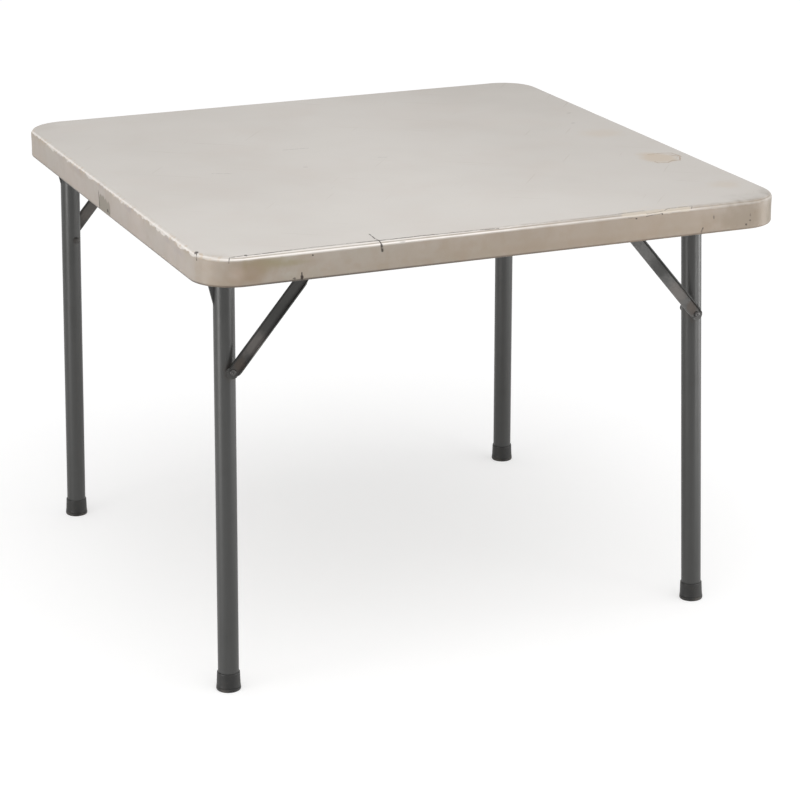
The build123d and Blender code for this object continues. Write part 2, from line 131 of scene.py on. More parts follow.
class CardTableColours(bpy.types.PropertyGroup):
    top: colour("Top", "Face of the top", 214, 209, 203)
    # Colour of the painted shade on the back and the right of the face
    top_painted_shade: colour("Top, shaded", "Soiled and yellowed parts of the face", 184, 178, 171)
    patch: colour("Soiled patch", "Grey-brown soil on the left rim", 122, 114, 101)
    bruise: colour("Bruise", "Purplish grey of the knocked left edge", 156, 146, 142)
    pink: colour("Pinkish tinge", "Faint pink patches of the plastic", 205, 188, 178)
    rim: colour("Rim", "Handled and soiled rim", 164, 156, 146)
    rim_dirt: colour("Rim dirt", "Brown soil on the rim", 146, 128, 108)
    olive: colour("Olive stain", "Greenish stain on the rim", 142, 134, 104)
    peel: colour("Peeled skin", "Plastic bared where the skin has peeled", 216, 205, 188)
    # Pale colour of the painted highlights along the rounded edge
    bared: colour("Polished edge", "Bright plastic where the edge is worn smooth", 250, 244, 238)
    tan: colour("Tan", "Tan plastic under the worn skin", 190, 168, 140)
    score: colour("Scored skin", "Brown outline of an abraded place", 158, 132, 104)
    # Dark colour of the cracks, also used for the painted shade along the rim's lower edge
    crack_dirt_and_shade: colour("Crack", "Dirt in cracks and scratches", 52, 44, 38)
    enamel: colour("Frame enamel", "Grey paint of the legs", 68, 68, 67)
    enamel_dark: colour("Worn enamel", "Darker, rubbed paint", 50, 50, 48)
    brace: colour("Brace enamel", "Darker grey paint of the braces", 60, 59, 57)
    scuff: colour("Scuffed enamel", "Paler, scuffed paint on the braces", 108, 103, 99)
    rust: colour("Rust", "Rust at rivets and edges", 76, 60, 47)
    cap: colour("Foot caps", "Black plastic of the caps", 30, 30, 29)
    dust: colour("Dust", "Dust on the caps", 112, 106, 98)
    grease: colour("Greasy collar", "Nylon collars grey with grease", 88, 85, 80)


class CardTableStage(bpy.types.PropertyGroup):
    camera_place: bpy.props.FloatVectorProperty(
        name="Camera place", description="Where the camera stands", size=3, subtype="TRANSLATION",
        unit="LENGTH", default=(-1.61983, -3.85698, 1.68864),
    )
    azimuth: bearing("Azimuth", "How far the camera looks to the right of +Y", 23.14)
    elevation: bearing("Elevation", "How far the camera looks down", 18.63)
    roll: bearing("Roll", "Turn of the camera about its own axis", 0.05)
    lens: amount("Lens", "Focal length for a sensor 36 mm wide", 119.56, 1.0, unit="CAMERA")
    sky: amount("Sky", "Strength of the even light from all sides", 0.50)
    key: amount("Key", "Strength of the soft light from above the front", 1.15)
    box: amount("Soft box", "Strength of the soft box over the front edge", 4.0)
    strip_left: amount("Left strip", "Strength of the low strip light at the left", 18.0)
    strip_right: amount("Right strip", "Strength of the low strip light at the right", 13.0)
    strip_front: amount("Front strip", "Strength of the low strip light at the front right", 6.0)
    shadow_share: amount("Shadow share", "Share of the shadow that the pale floor shows", 0.55,
                         subtype="FACTOR", max=1.0)
    floor_glow: amount("Floor glow", "White that the floor adds for the camera and in metal", 0.56)


# Surfaces on grids


def quad_faces(rows, columns, wrap, first):
    """Quads between the neighbouring rows of a grid; wrap joins the last column to the first."""
    across = columns if wrap else columns - 1
    row = np.arange(rows - 1)[:, None] * columns
    here = np.arange(across)[None, :]
    after = (here + 1) % columns
    quads = [row + here, row + after, row + columns + after, row + columns + here]
    return np.stack(quads, axis=-1).reshape(-1, 4) + first


def make_piece(name, grids, body, material, replaced=(), values=None):
    """One object from several grids of points (rows, columns, 3), each with its wrap flag.
    Points that meet are merged, and the closed shell's faces are turned outwards."""
    points = np.concatenate([grid.reshape(-1, 3) for grid, _ in grids])
    faces = []
    first = 0
    for grid, wrap in grids:
        rows, columns = grid.shape[:2]
        faces.append(quad_faces(rows, columns, wrap, first))
        first += rows * columns
    mesh = bpy.data.meshes.new(name)
    mesh.from_pydata(points.tolist(), [], np.concatenate(faces).tolist())
    for key, column in (values or {}).items():
        attribute = mesh.attributes.new(key, "FLOAT", "POINT")
        attribute.data.foreach_set("value", column.astype(np.float32))
    work = bmesh.new()
    work.from_mesh(mesh)
    bmesh.ops.remove_doubles(work, verts=work.verts, dist=2e-6)
    bmesh.ops.dissolve_degenerate(work, dist=1e-7, edges=work.edges)
    bmesh.ops.recalc_face_normals(work, faces=work.faces)
    work.to_mesh(mesh)
    work.free()
    mesh.shade_smooth()
    piece = bpy.data.objects.new(name, mesh)
    bpy.context.scene.collection.objects.link(piece)
    piece.data.materials.append(material)
    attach(piece, body)
    if replaced:
        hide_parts(*replaced)
    return piece


def harden_edges(piece, degrees):
    """Keeps edges sharper than the angle crisp in the shading."""
    work = bmesh.new()
    work.from_mesh(piece.data)
    limit = math.radians(degrees)
    for edge in work.edges:
        if len(edge.link_faces) == 2 and edge.calc_face_angle(0.0) > limit:
            edge.smooth = False
    work.to_mesh(piece.data)
    work.free()


def turned(profile, steps, origin, axis, start=(1, 0, 0)):
    """Grid of a profile of (radius, height) rows turned about an axis through origin:
    point = origin + height * axis + radius * (cos a * side + sin a * other side)."""
    axis = np.array(Vector(axis).normalized())
    side = np.array(start, float)
    side = side - side.dot(axis) * axis
    side /= np.linalg.norm(side)
    other = np.cross(axis, side)
    angle = np.linspace(0, 2 * math.pi, steps, endpoint=False)
    radial = np.cos(angle)[:, None] * side + np.sin(angle)[:, None] * other
    profile = np.array(profile, float)
    return (
        np.array(origin, float)
        + profile[:, 1][:, None, None] * axis
        + profile[:, 0][:, None, None] * radial[None, :, :]
    )


def arc(centre, radius, start, end, steps):
    """Points (x, y) along an arc, angles in degrees, both ends included."""
    angle = np.radians(np.linspace(start, end, steps + 1))
    return np.stack([centre[0] + radius * np.cos(angle), centre[1] + radius * np.sin(angle)], -1)


# Moulded top

# Columns and rows of pits, steps along one pit's cell, and steps along half a corner
PIT_COLUMNS, PIT_ROWS, CELL_STEPS, CORNER_STEPS = 8, 7, 12, 9
# Rings on the face, the rounded edge, the rim, its foot, the recess wall and the recess root
FACE_RINGS, EDGE_RINGS, RIM_RINGS, FOOT_RINGS, WALL_RINGS, ROOT_RINGS = 22, 21, 8, 6, 5, 7
# Seeds of the fine wear, the broad wear and the hollow of the rim
FINE_SEED, BROAD_SEED, HOLLOW_SEED = 11, 12, 13
# Stretches in X of the front edge whose skin has peeled, and the angles that it has left bare
PEELED = ((-0.43, 0.0), (0.185, 0.305))
PEELED_FROM, PEELED_TO = 12, 82
HOLLOW_DEPTH = 0.25 * MM
RECESS_LIP = 1.5 * MM


def square_ring(half, radius, steps_x, steps_y, corner):
    """Rounded square seen from above, from the middle of one corner round to itself.
    Each side is half a corner arc, a straight and half a corner arc."""
    parts = []
    for turn, steps in ((0, steps_y), (90, steps_x), (180, steps_y), (270, steps_x)):
        reach = half - radius
        lead = np.radians(np.linspace(-45, 0, corner, endpoint=False))
        tail = np.radians(np.linspace(0, 45, corner, endpoint=False))
        straight = np.linspace(-reach, reach, steps - 2 * corner, endpoint=False)
        out = np.concatenate([
            reach + radius * np.cos(lead), np.full(straight.shape, half),
            reach + radius * np.cos(tail),
        ])
        along = np.concatenate([-reach + radius * np.sin(lead), straight,
                                reach + radius * np.sin(tail)])
        c, s = math.cos(math.radians(turn)), math.sin(math.radians(turn))
        parts.append(np.stack([out * c - along * s, out * s + along * c], -1))
    return np.concatenate(parts)


def oblong_ring(half_x, half_y, steps_x, steps_y):
    """Oblong with evenly spaced points, from one corner round to itself."""
    y = np.linspace(-half_y, half_y, steps_y, endpoint=False)
    x = np.linspace(half_x, -half_x, steps_x, endpoint=False)
    right = np.stack([np.full(y.shape, half_x), y], -1)
    back = np.stack([x, np.full(x.shape, half_y)], -1)
    return np.concatenate([right, back, -right, -back])


def slow_waves(x, y):
    """Sum of three crossed sine waves of different lengths, from 0 to 1."""
    total = np.sin(x * 9.1 + 0.7) * np.cos(y * 7.3 - 0.4) + 0.6 * np.sin(x * 17.0 - y * 13.0)
    total += 0.4 * np.cos(x * 5.0 + y * 21.0 + 1.1)
    return 0.5 + total / 4


def ragged_line(count, grain, seed):
    """Smooth random values from 0 to 1 round a closed line, grain points long."""
    values = np.random.default_rng(seed).random(count)
    kernel = np.hanning(grain + 2)[1:-1]
    kernel /= kernel.sum()
    smooth = np.convolve(np.tile(values, 3), kernel, "same")[count:2 * count]
    return (smooth - smooth.min()) / (smooth.max() - smooth.min())


def pit_cells(size, deck):
    """Grids of the pits: each runs from its oblong border to the mouth, the wall and the floor."""
    cell_x, cell_y = size.pit_pitch_x / 2, size.pit_pitch_y / 2
    border = oblong_ring(cell_x, cell_y, CELL_STEPS, CELL_STEPS)
    angle = np.arctan2(border[:, 1] / cell_y, border[:, 0] / cell_x)
    circle = np.stack([np.cos(angle), np.sin(angle)], -1)
    mouth, bottom, depth = size.pit_radius, size.pit_floor_radius, size.pit_depth
    profile = [
        (mouth + 2.0 * MM, 0.0), (mouth + 0.7 * MM, 0.25 * MM), (mouth - 0.1 * MM, 1.2 * MM),
        (mouth + (bottom - mouth) * 0.5, depth * 0.5), (bottom + 0.5 * MM, depth - 1.6 * MM),
        (bottom - 0.6 * MM, depth - 0.4 * MM), (bottom - 2 * MM, depth), (0.0, depth)]
    level = np.zeros(len(border))
    cell = [np.column_stack([border, level]),
            np.column_stack([(border + circle * profile[0][0]) / 2, level])]
    for radius, height in profile:
        cell.append(np.column_stack([circle * radius, level + height]))
    cell = np.array(cell)
    return [
        cell + np.array([(2 * i + 1 - PIT_COLUMNS) * cell_x, (2 * j + 1 - PIT_ROWS) * cell_y, deck])
        for i in range(PIT_COLUMNS) for j in range(PIT_ROWS)]


class CARDTABLE_OT_moulded_top(bpy.types.Operator):
    """Moulded top with its rim, recess and pits, worn along the edge"""

    bl_idname = "card_table.moulded_top"
    bl_label = "Moulded top"

    def execute(self, context):
        size = context.scene.card_table_top
        half = (top_high.x - top_low.x) / 2
        face, foot = top_high.z, top_low.z
        deck = face - size.deck_thickness
        outer, edge = size.corner_radius, size.edge_radius
        steps_x, steps_y = PIT_COLUMNS * CELL_STEPS, PIT_ROWS * CELL_STEPS
        count = 2 * (steps_x + steps_y)
        grid, turn, wear = [], [], []

        def ring(inset, radius, height):
            """Rounded square at a height, drawn in from the top's outline by the inset."""
            flat = square_ring(half - inset, radius, steps_x, steps_y, CORNER_STEPS)
            return np.column_stack([flat, np.full(count, height)])

        def add(points, turned_share, worn=0.0):
            """One more ring; its turned share is 0 on the face and 1 on the rim."""
            grid.append(points)
            turn.append(np.full(count, turned_share))
            wear.append(np.broadcast_to(worn, (count,)))

        # Face: rings that shrink to the middle, lowered by slow waves away from the edge
        for share in np.concatenate([[0.0], np.linspace(0.06, 0.97, FACE_RINGS)]):
            reach = max((half - edge) * share, 1e-9)
            flat = square_ring(reach, (outer - edge) * share, steps_x, steps_y, CORNER_STEPS)
            fade = min(1.0, (1 - share) * 8)
            height = face - size.sag * slow_waves(flat[:, 0], flat[:, 1]) * fade
            add(np.column_stack([flat, height]), 0.0)
        add(ring(edge + 4 * MM, outer - edge - 4 * MM, face), 0.0)

        # Rounded edge: worn unevenly, and stripped of its skin along two stretches of the front
        ragged = ragged_line(count, 3, FINE_SEED) * 0.6 + ragged_line(count, 15, BROAD_SEED) * 0.4
        ragged = np.clip((ragged - 0.35) * 1.6, 0, 1)
        outline = ring(0, outer, face)
        inward = (ring(MM, outer - MM, face) - outline) / MM
        x, y = outline[:, 0], outline[:, 1]
        stripped = np.any([(x > low) & (x < high) for low, high in PEELED], axis=0)
        stripped &= y < outer - half
        depth = size.edge_wear * ragged * np.where(x < outer - half, 1.0, 0.4)
        for degrees in np.linspace(90, 0, EDGE_RINGS):
            c, s = math.cos(math.radians(degrees)), math.sin(math.radians(degrees))
            peeled = stripped * (PEELED_FROM < degrees < PEELED_TO)
            bite = 2 * s * c * depth + size.peel_depth * peeled
            points = ring(edge * (1 - c), outer - edge * (1 - c), face - edge * (1 - s))
            points += (bite * c)[:, None] * inward
            points[:, 2] -= bite * s
            add(points, 1 - degrees / 90, 2 * s * c * (0.35 + 0.65 * ragged))

        # Rim: a slightly hollow side, the rounded foot and the lip round the recess
        straight = face - edge - foot - size.foot_radius
        hollows = HOLLOW_DEPTH * (0.4 + ragged_line(count, 41, HOLLOW_SEED))
        for share in np.linspace(0.08, 1, RIM_RINGS):
            height = face - edge - share * straight
            hollow = hollows * math.sin(share * math.pi)
            points = ring(0, outer, height)
            points[:, :2] *= (1 - hollow / half)[:, None]
            add(points, 1.0)
        for angle in np.linspace(15, 90, FOOT_RINGS):
            inset = size.foot_radius * (1 - math.cos(math.radians(angle)))
            height = foot + size.foot_radius * (1 - math.sin(math.radians(angle)))
            add(ring(inset, outer - inset, height), 1.0)
        lip, wall = RECESS_LIP, size.rim_width
        middle = outer - size.foot_radius - (outer - size.recess_radius) * 0.4
        add(ring(wall / 2, middle, foot), 1.0)
        for angle in np.linspace(0, 90, WALL_RINGS):
            inset = wall - lip + lip * math.sin(math.radians(angle))
            height = foot + lip * (1 - math.cos(math.radians(angle)))
            add(ring(inset, size.recess_radius + (wall - inset), height), 1.0)
        for angle in np.linspace(0, 90, ROOT_RINGS):
            inset = wall + size.root_radius * (1 - math.cos(math.radians(angle)))
            height = deck - size.root_radius * (1 - math.sin(math.radians(angle)))
            add(ring(inset, size.recess_radius - (inset - wall), height), 1.0)

        # Recess floor: from the last ring to the oblong of the pit cells
        oblong = oblong_ring(PIT_COLUMNS * size.pit_pitch_x / 2, PIT_ROWS * size.pit_pitch_y / 2,
                             steps_x, steps_y)
        oblong = np.column_stack([oblong, np.full(count, deck)])
        last = grid[-1]
        for share in (0.25, 0.5, 0.75, 1.0):
            add(last + (oblong - last) * share, 1.0)

        cells = pit_cells(size, deck)
        grids = [(np.array(grid), True)] + [(cell, True) for cell in cells]
        in_pits = sum(cell.shape[0] * cell.shape[1] for cell in cells)
        make_piece("moulded_top", grids, "root", top_plastic(), ["tabletop"], {
            "turn": np.concatenate([np.ravel(turn), np.ones(in_pits)]),
            "wear": np.concatenate([np.ravel(wear), np.zeros(in_pits)])})
        return {"FINISHED"}


# Braces

# Where a brace's flanges start before its rivet, end before its wheel, and how fast they rise
FLANGE_LEAD, FLANGE_TAIL, FLANGE_RISE = 4 * MM, 26 * MM, 9 * MM
# Steps along an end and the whole brace, and across the web, the bend and the flange
TIP_STEPS, BRACE_STEPS, WEB_STEPS, BEND_STEPS, FLANGE_STEPS = 10, 60, 6, 6, 4
SHEET_ROUNDING = 0.45 * MM


class CARDTABLE_OT_braces(bpy.types.Operator):
    """Pressed braces with turned-out edges that run out into flat round ends"""

    bl_idname = "card_table.braces"
    bl_label = "Braces"

    def execute(self, context):
        size = context.scene.card_table_steel
        material = brace_enamel()
        half, bend = size.brace_width / 2, size.bend_radius
        # Section from the middle to one edge: web, quarter bend, flange
        rise = size.brace_flange + size.brace_sheet
        web = np.linspace(0, half - bend, WEB_STEPS)
        curve = arc((half - bend, bend), bend, -90, 0, BEND_STEPS)[1:]
        flange = np.linspace(bend, rise, FLANGE_STEPS)[1:]
        section = np.concatenate([
            np.stack([web, np.zeros(web.shape)], -1), curve,
            np.stack([np.full(flange.shape, half), flange], -1)])
        even = np.stack([np.linspace(0, half, len(section)), np.zeros(len(section))], -1)
        tip = arc((0, 0), half, 180, 90, TIP_STEPS)
        for _, name in corners:
            rivet = joint_places[f"{name}_brace_swing"]
            low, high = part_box(f"{name}_guide_wheel")
            wheel = (low + high) / 2
            low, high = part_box(f"{name}_brace")
            outward = 1 if rivet.y > 0 else -1
            back = low.y if outward > 0 else high.y
            along = Vector((wheel.x - rivet.x, 0, wheel.z - rivet.z))
            reach = along.length
            along = np.array(along / reach)
            across = np.array((-along[2], 0, along[0]))
            out = np.array((0, outward, 0))
            mid = np.linspace(0, reach, BRACE_STEPS)[1:-1]
            station = np.concatenate([tip[:, 0], mid, reach - tip[::-1, 0]])
            width = np.concatenate([tip[:, 1], np.full(mid.shape, half), tip[::-1, 1]])
            lead = np.clip((station + FLANGE_LEAD) / FLANGE_RISE, 0, 1)
            tail = np.clip((reach - FLANGE_TAIL - station) / FLANGE_RISE, 0, 1)
            share = (lead * lead * (3 - 2 * lead) * tail * tail * (3 - 2 * tail))[:, None, None]
            shape = (1 - share) * even[None] + share * section[None]
            shape[:, :, 0] *= (width / half)[:, None]
            whole = np.concatenate([shape[:, ::-1] * (-1, 1), shape[:, 1:]], axis=1)
            origin = np.array((rivet.x, back, rivet.z))
            points = (origin + station[:, None, None] * along
                      + whole[:, :, :1] * across + whole[:, :, 1:] * out)
            # The upper flange is marked for painted shade in the paint
            upper = whole[:, :, 0] * across[2] > 0
            piece = make_piece(f"{name}_pressed_brace", [(points, False)], f"{name}_brace",
                               material, [f"{name}_brace"],
                               {"grime": np.ravel(upper * whole[:, :, 1] / rise)})
            thicken(piece, size.brace_sheet, out)
        return {"FINISHED"}


def thicken(piece, sheet, out):
    """Gives an open sheet its thickness on the side that out points to, and rounds its edges."""
    total = sum((Vector(face.normal) * face.area for face in piece.data.polygons), Vector())
    if total.dot(Vector(out)) < 0:
        piece.data.flip_normals()
    solid = piece.modifiers.new("sheet", "SOLIDIFY")
    solid.thickness = sheet
    solid.offset = 1.0
    solid.use_even_offset = True
    bevel = piece.modifiers.new("edge", "BEVEL")
    bevel.width = SHEET_ROUNDING
    bevel.segments = 2
    bevel.limit_method = "ANGLE"
    bevel.angle_limit = math.radians(50)
    bevel.harden_normals = True


# Rivets, feet, welds and screws

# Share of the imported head's radius that the photo shows, and the tail's and the stem's radius
RIVET_HEAD, RIVET_TAIL, RIVET_STEM = 0.7, 6 * MM, 4 * MM
# How far a leg's line stops short of its cross tube's end, besides the tube's radius
LEG_INSET = 4 * MM
# Radius of a foot cap at its base and neck, height of its inner floor, and how deep the tilted
# cap is drawn below the floor, which cuts it level
CAP_BASE, CAP_NECK, CAP_INSIDE, CAP_SUNK = 18.8 * MM, 17.3 * MM, 8 * MM, 0.9 * MM
# Steps round a bead's path and its section, and half the ripples along it
BEAD_STEPS, BEAD_SIDES, BEAD_RIPPLES = 144, 12, 22
# Places of the screws along a track and across it, and in from a strap's ends
TRACK_SCREWS, TRACK_SCREW_INSET, STRAP_SCREW_INSET = (0.08, 0.5, 0.92), 7.5 * MM, 6 * MM
# Radius and height of a screw's head, and its stem's radius
SCREW_HEAD, SCREW_HEIGHT, SCREW_STEM = 4.0 * MM, 1.8 * MM, 1.95 * MM
# Depth of the cross in a screw's head, half width and half length, each with its slope
CROSS_DEPTH, CROSS_WIDTH, CROSS_SLOPE = 1.1 * MM, 0.62 * MM, 0.25 * MM
CROSS_REACH, CROSS_END = 2.35 * MM, 0.3 * MM


class CARDTABLE_OT_rivets(bpy.types.Operator):
    """Rivets with a domed head outside and an upset tail inside"""

    bl_idname = "card_table.rivets"
    bl_label = "Rivets"

    def execute(self, context):
        dome = context.scene.card_table_steel.rivet_dome
        material = bare_metal("rivet_steel")
        tail, stem = RIVET_TAIL, RIVET_STEM
        for side, name in corners:
            low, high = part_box(f"{name}_rivet")
            middle = (low + high) / 2
            outward = 1 if middle.y > 0 else -1
            head_face = (high.y if outward > 0 else low.y) - outward * dome
            tail_face = low.y if outward > 0 else high.y
            shank = abs(head_face - tail_face)
            head = RIVET_HEAD * (high.x - low.x) / 2
            angle = np.radians(np.linspace(0, 68, 9))
            crown = np.stack([head * np.cos(angle), dome * (0.12 + 0.86 * np.sin(angle))], -1)
            profile = [(0, -shank), (tail * 0.55, -shank), (tail * 0.9, -shank + 0.4 * MM),
                       (tail, -shank + 1.1 * MM), (tail * 0.94, -shank + 2 * MM),
                       (stem, -shank + 2 * MM), (stem, 0), (head - 0.3 * MM, 0)]
            dimple = [(head * 0.3, dome * 0.86), (head * 0.2, dome * 0.5), (0, dome * 0.42)]
            profile = np.concatenate([profile, crown, dimple])
            grid = turned(profile, 40, (middle.x, head_face, middle.z), (0, outward, 0))
            piece = make_piece(f"{name}_domed_rivet", [(grid, True)], f"{side}_frame",
                               material, [f"{name}_rivet"])
            harden_edges(piece, 50)
        return {"FINISHED"}


def leg_line(side, name):
    """Foot and top of a leg's centre line, the direction between them and the tubes' radius.
    The top lies on the cross tube's axis."""
    low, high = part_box(f"{name}_foot")
    foot = np.array(((low.x + high.x) / 2, (low.y + high.y) / 2, 0.0))
    low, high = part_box(f"{side}_cross_tube")
    radius = (high.z - low.z) / 2
    pivot = joint_places[f"{side}_frame_fold"]
    top = np.array((pivot.x, math.copysign(high.y - radius - LEG_INSET, foot[1]), pivot.z))
    return foot, top, (top - foot) / np.linalg.norm(top - foot), radius


class CARDTABLE_OT_feet(bpy.types.Operator):
    """Flared plastic caps on the legs, level with the floor"""

    bl_idname = "card_table.feet"
    bl_label = "Feet"

    def execute(self, context):
        material = cap_plastic()
        base, neck = CAP_BASE, CAP_NECK
        for side, name in corners:
            foot, _, axis, radius = leg_line(side, name)
            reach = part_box(f"{name}_foot")[1].z
            bore = radius + 0.05 * MM
            lip = arc((base - 3 * MM, 3 * MM), 3 * MM, -90, 5, 8) - (0, CAP_SUNK)
            groove = [(base - 0.15 * MM, 4.6 * MM), (base - 0.9 * MM, 5.2 * MM),
                      (base - 0.9 * MM, 6.0 * MM), (base - 0.35 * MM, 6.7 * MM)]
            sleeve = [(base - 0.4 * MM - (base - neck - 0.4 * MM) * share, reach * share)
                      for share in np.linspace(0.3, 0.9, 6)]
            mouth = [(neck, reach - 1.6 * MM), (neck - 0.4 * MM, reach - 0.9 * MM),
                     (bore, reach - 0.7 * MM), (bore, CAP_INSIDE), (0, CAP_INSIDE)]
            profile = np.concatenate([
                [(0, -CAP_SUNK), (base * 0.45, -CAP_SUNK)], lip, groove, sleeve, mouth])
            grid = turned(profile, 64, foot, axis)
            grid[:, :, 2] = np.clip(grid[:, :, 2], 0.0, None)
            piece = make_piece(f"{name}_foot_cap", [(grid, True)], f"{side}_frame",
                               material, [f"{name}_foot"])
            harden_edges(piece, 40)
        return {"FINISHED"}


class CARDTABLE_OT_welds(bpy.types.Operator):
    """Rippled weld beads where each leg meets its cross tube"""

    bl_idname = "card_table.welds"
    bl_label = "Weld beads"

    def execute(self, context):
        size = context.scene.card_table_steel
        material = frame_enamel()
        turn = np.linspace(0, 2 * math.pi, BEAD_STEPS, endpoint=False)
        bead = size.weld_radius + size.ripple * np.abs(np.sin(turn * BEAD_RIPPLES))
        around = np.linspace(0, 2 * math.pi, BEAD_SIDES, endpoint=False)
        for side in sides:
            grids = []
            for end in ends:
                _, top, axis, radius = leg_line(side, f"{side}_{end}")
                side_x = np.array((1.0, 0, 0)) - axis[0] * axis
                side_x /= np.linalg.norm(side_x)
                side_y = np.cross(axis, side_x)
                radial = np.cos(turn)[:, None] * side_x + np.sin(turn)[:, None] * side_y
                # Where a line on the leg meets the cross tube: |start - t * axis| = radius in X, Z
                start = (radius - size.weld_inset) * radial
                a = axis[0] ** 2 + axis[2] ** 2
                b = -2 * (start[:, 0] * axis[0] + start[:, 2] * axis[2])
                c = start[:, 0] ** 2 + start[:, 2] ** 2 - radius ** 2
                t = (-b + np.sqrt(np.maximum(b * b - 4 * a * c, 0))) / (2 * a)
                path = top + start - t[:, None] * axis
                grid = (path[:, None] + bead[:, None, None] * (
                    np.cos(around)[None, :, None] * radial[:, None]
                    - np.sin(around)[None, :, None] * axis))
                grids.append((np.concatenate([grid, grid[:1]]), True))
            make_piece(f"{side}_weld_beads", grids, f"{side}_frame", material)
        return {"FINISHED"}


class CARDTABLE_OT_screws(bpy.types.Operator):
    """Pan-head screws with a cross recess in the tracks and straps"""

    bl_idname = "card_table.screws"
    bl_label = "Screws"

    def execute(self, context):
        material = bare_metal("zinc_screw")
        places = {"track_screws": [], "strap_screws": []}
        for side, name in corners:
            low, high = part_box(f"{name}_track")
            y = high.y - TRACK_SCREW_INSET if high.y > 0 else low.y + TRACK_SCREW_INSET
            first, last = (low.x, high.x) if side == "left" else (high.x, low.x)
            places["track_screws"] += [(first + share * (last - first), y)
                                       for share in TRACK_SCREWS]
            low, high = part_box(f"{name}_pivot_strap")
            places["strap_screws"] += [(x, (low.y + high.y) / 2) for x in (
                low.x + STRAP_SCREW_INSET, high.x - STRAP_SCREW_INSET)]
        for node, centres in places.items():
            low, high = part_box(node)
            grids = [(screw_grid(x, y, low.z, high.z, number), True)
                     for number, (x, y) in enumerate(centres)]
            piece = make_piece(f"{node}_crossed", grids, "root", material, [node])
            harden_edges(piece, 45)
        return {"FINISHED"}


def screw_grid(x, y, low, high, number):
    """Turned screw, head down, whose flat middle is pressed in along a cross:
    the depth is full within the half width of the nearer arm and fades over the slope."""
    head, height, length_over_all = SCREW_HEAD, SCREW_HEIGHT, high - low
    c, s = math.cos(number), math.sin(number)
    flat = [(r * MM, 0.0) for r in (0.0, 0.45, 0.9, 1.4, 1.9, 2.2, 2.5)]
    crown = [(head * 0.8, 0.22 * MM), (head * 0.94, 0.6 * MM), (head, 1.2 * MM), (head, height)]
    stem = [(SCREW_STEM, height), (SCREW_STEM, length_over_all - 1 * MM), (0.0, length_over_all)]
    grid = turned(flat + crown + stem, 48, (x, y, low), (0, 0, 1), (c, s, 0))
    dx, dy = grid[:, :, 0] - x, grid[:, :, 1] - y
    nearer = np.minimum(np.abs(dx * c + dy * s), np.abs(dy * c - dx * s))
    in_cross = np.clip((CROSS_WIDTH - nearer) / CROSS_SLOPE, 0, 1)
    in_cross *= np.clip((CROSS_REACH - np.hypot(dx, dy)) / CROSS_END, 0, 1)
    on_head = grid[:, :, 2] < low + 0.1 * MM
    grid[:, :, 2] += CROSS_DEPTH * in_cross * on_head
    return grid


# Node helpers and shared effects

VECTOR, FLOAT = "NodeSocketVector", "NodeSocketFloat"


def fill(tree, socket, value):
    """Gives a socket another socket's output or a plain value."""
    if isinstance(value, bpy.types.NodeSocket):
        tree.links.new(value, socket)
    else:
        socket.default_value = value


def put(tree, kind, inputs=None, **settings):
    """Adds a node, sets its properties, and fills its sockets."""
    node = tree.nodes.new(kind)
    for key, value in settings.items():
        setattr(node, key, value)
    for key, value in (inputs or {}).items():
        fill(tree, node.inputs[key], value)
    return node


def calc(tree, operation, first, second=0.0, third=0.0):
    """Output of a Math node."""
    inputs = {0: first, 1: second, 2: third}
    return put(tree, "ShaderNodeMath", inputs, operation=operation).outputs[0]


def product(tree, *factors):
    """Product of several values."""
    total = factors[0]
    for factor in factors[1:]:
        total = calc(tree, "MULTIPLY", total, factor)
    return total


def strongest(tree, masks):
    """The largest of several masks."""
    total = masks[0]
    for mask in masks[1:]:
        total = calc(tree, "MAXIMUM", total, mask)
    return total


def vector_calc(tree, operation, first, second=(0, 0, 0), output=0):
    """Output of a Vector Math node; for SCALE, second is the factor."""
    key = "Scale" if operation == "SCALE" else 1
    node = put(tree, "ShaderNodeVectorMath", {0: first, key: second}, operation=operation)
    return node.outputs[output]


def ramp(tree, value, low, high, smooth=True):
    """Rises from 0 at low to 1 at high."""
    node = put(tree, "ShaderNodeMapRange", {"Value": value, "From Min": low, "From Max": high})
    node.interpolation_type = "SMOOTHSTEP" if smooth else "LINEAR"
    return node.outputs["Result"]


def noise(tree, place, scale, detail=2.0, output="Fac"):
    """Output of a noise texture."""
    inputs = {"Vector": place, "Scale": scale, "Detail": detail}
    return put(tree, "ShaderNodeTexNoise", inputs).outputs[output]


def attribute(tree, name):
    """A value that the mesh carries."""
    return put(tree, "ShaderNodeAttribute", attribute_name=name).outputs["Fac"]


def blend_colour(tree, share, first, second):
    """Mixes two colours by a share."""
    inputs = {0: share, 6: first, 7: second}
    node = put(tree, "ShaderNodeMix", data_type="RGBA", blend_type="MIX")
    for socket, value in inputs.items():
        fill(tree, node.inputs[socket], value)
    return node.outputs[2]


def rgba(value):
    """A colour with full alpha."""
    return (*value, 1.0)


def tinge(tree, base, colour_value, mask, strength=None):
    """Lays a colour over another by a mask, times a strength if there is one."""
    share = mask if strength is None else calc(tree, "MULTIPLY", mask, strength)
    return blend_colour(tree, share, base, rgba(colour_value))


def new_group(name, sockets):
    """Starts a node group with named inputs and one mask as its output."""
    tree = bpy.data.node_groups.new(name, "ShaderNodeTree")
    for label, kind, default in sockets:
        socket = tree.interface.new_socket(label, in_out="INPUT", socket_type=kind)
        if default is not None:
            socket.default_value = default
    tree.interface.new_socket("Mask", in_out="OUTPUT", socket_type=FLOAT)
    return tree, tree.nodes.new("NodeGroupInput").outputs, tree.nodes.new("NodeGroupOutput").inputs


def effect(tree, name, **inputs):
    """Output of a shared effect, which is built once; an input's underscores stand for spaces."""
    if name not in bpy.data.node_groups:
        {"clouds": clouds_group, "line mark": line_mark_group, "band": band_group,
         "blotch": blotch_group, "specks": specks_group, "hairlines": hairlines_group}[name](name)
    node = tree.nodes.new("ShaderNodeGroup")
    node.node_tree = bpy.data.node_groups[name]
    for key, value in inputs.items():
        fill(tree, node.inputs[key.replace("_", " ")], value)
    return node.outputs[0]


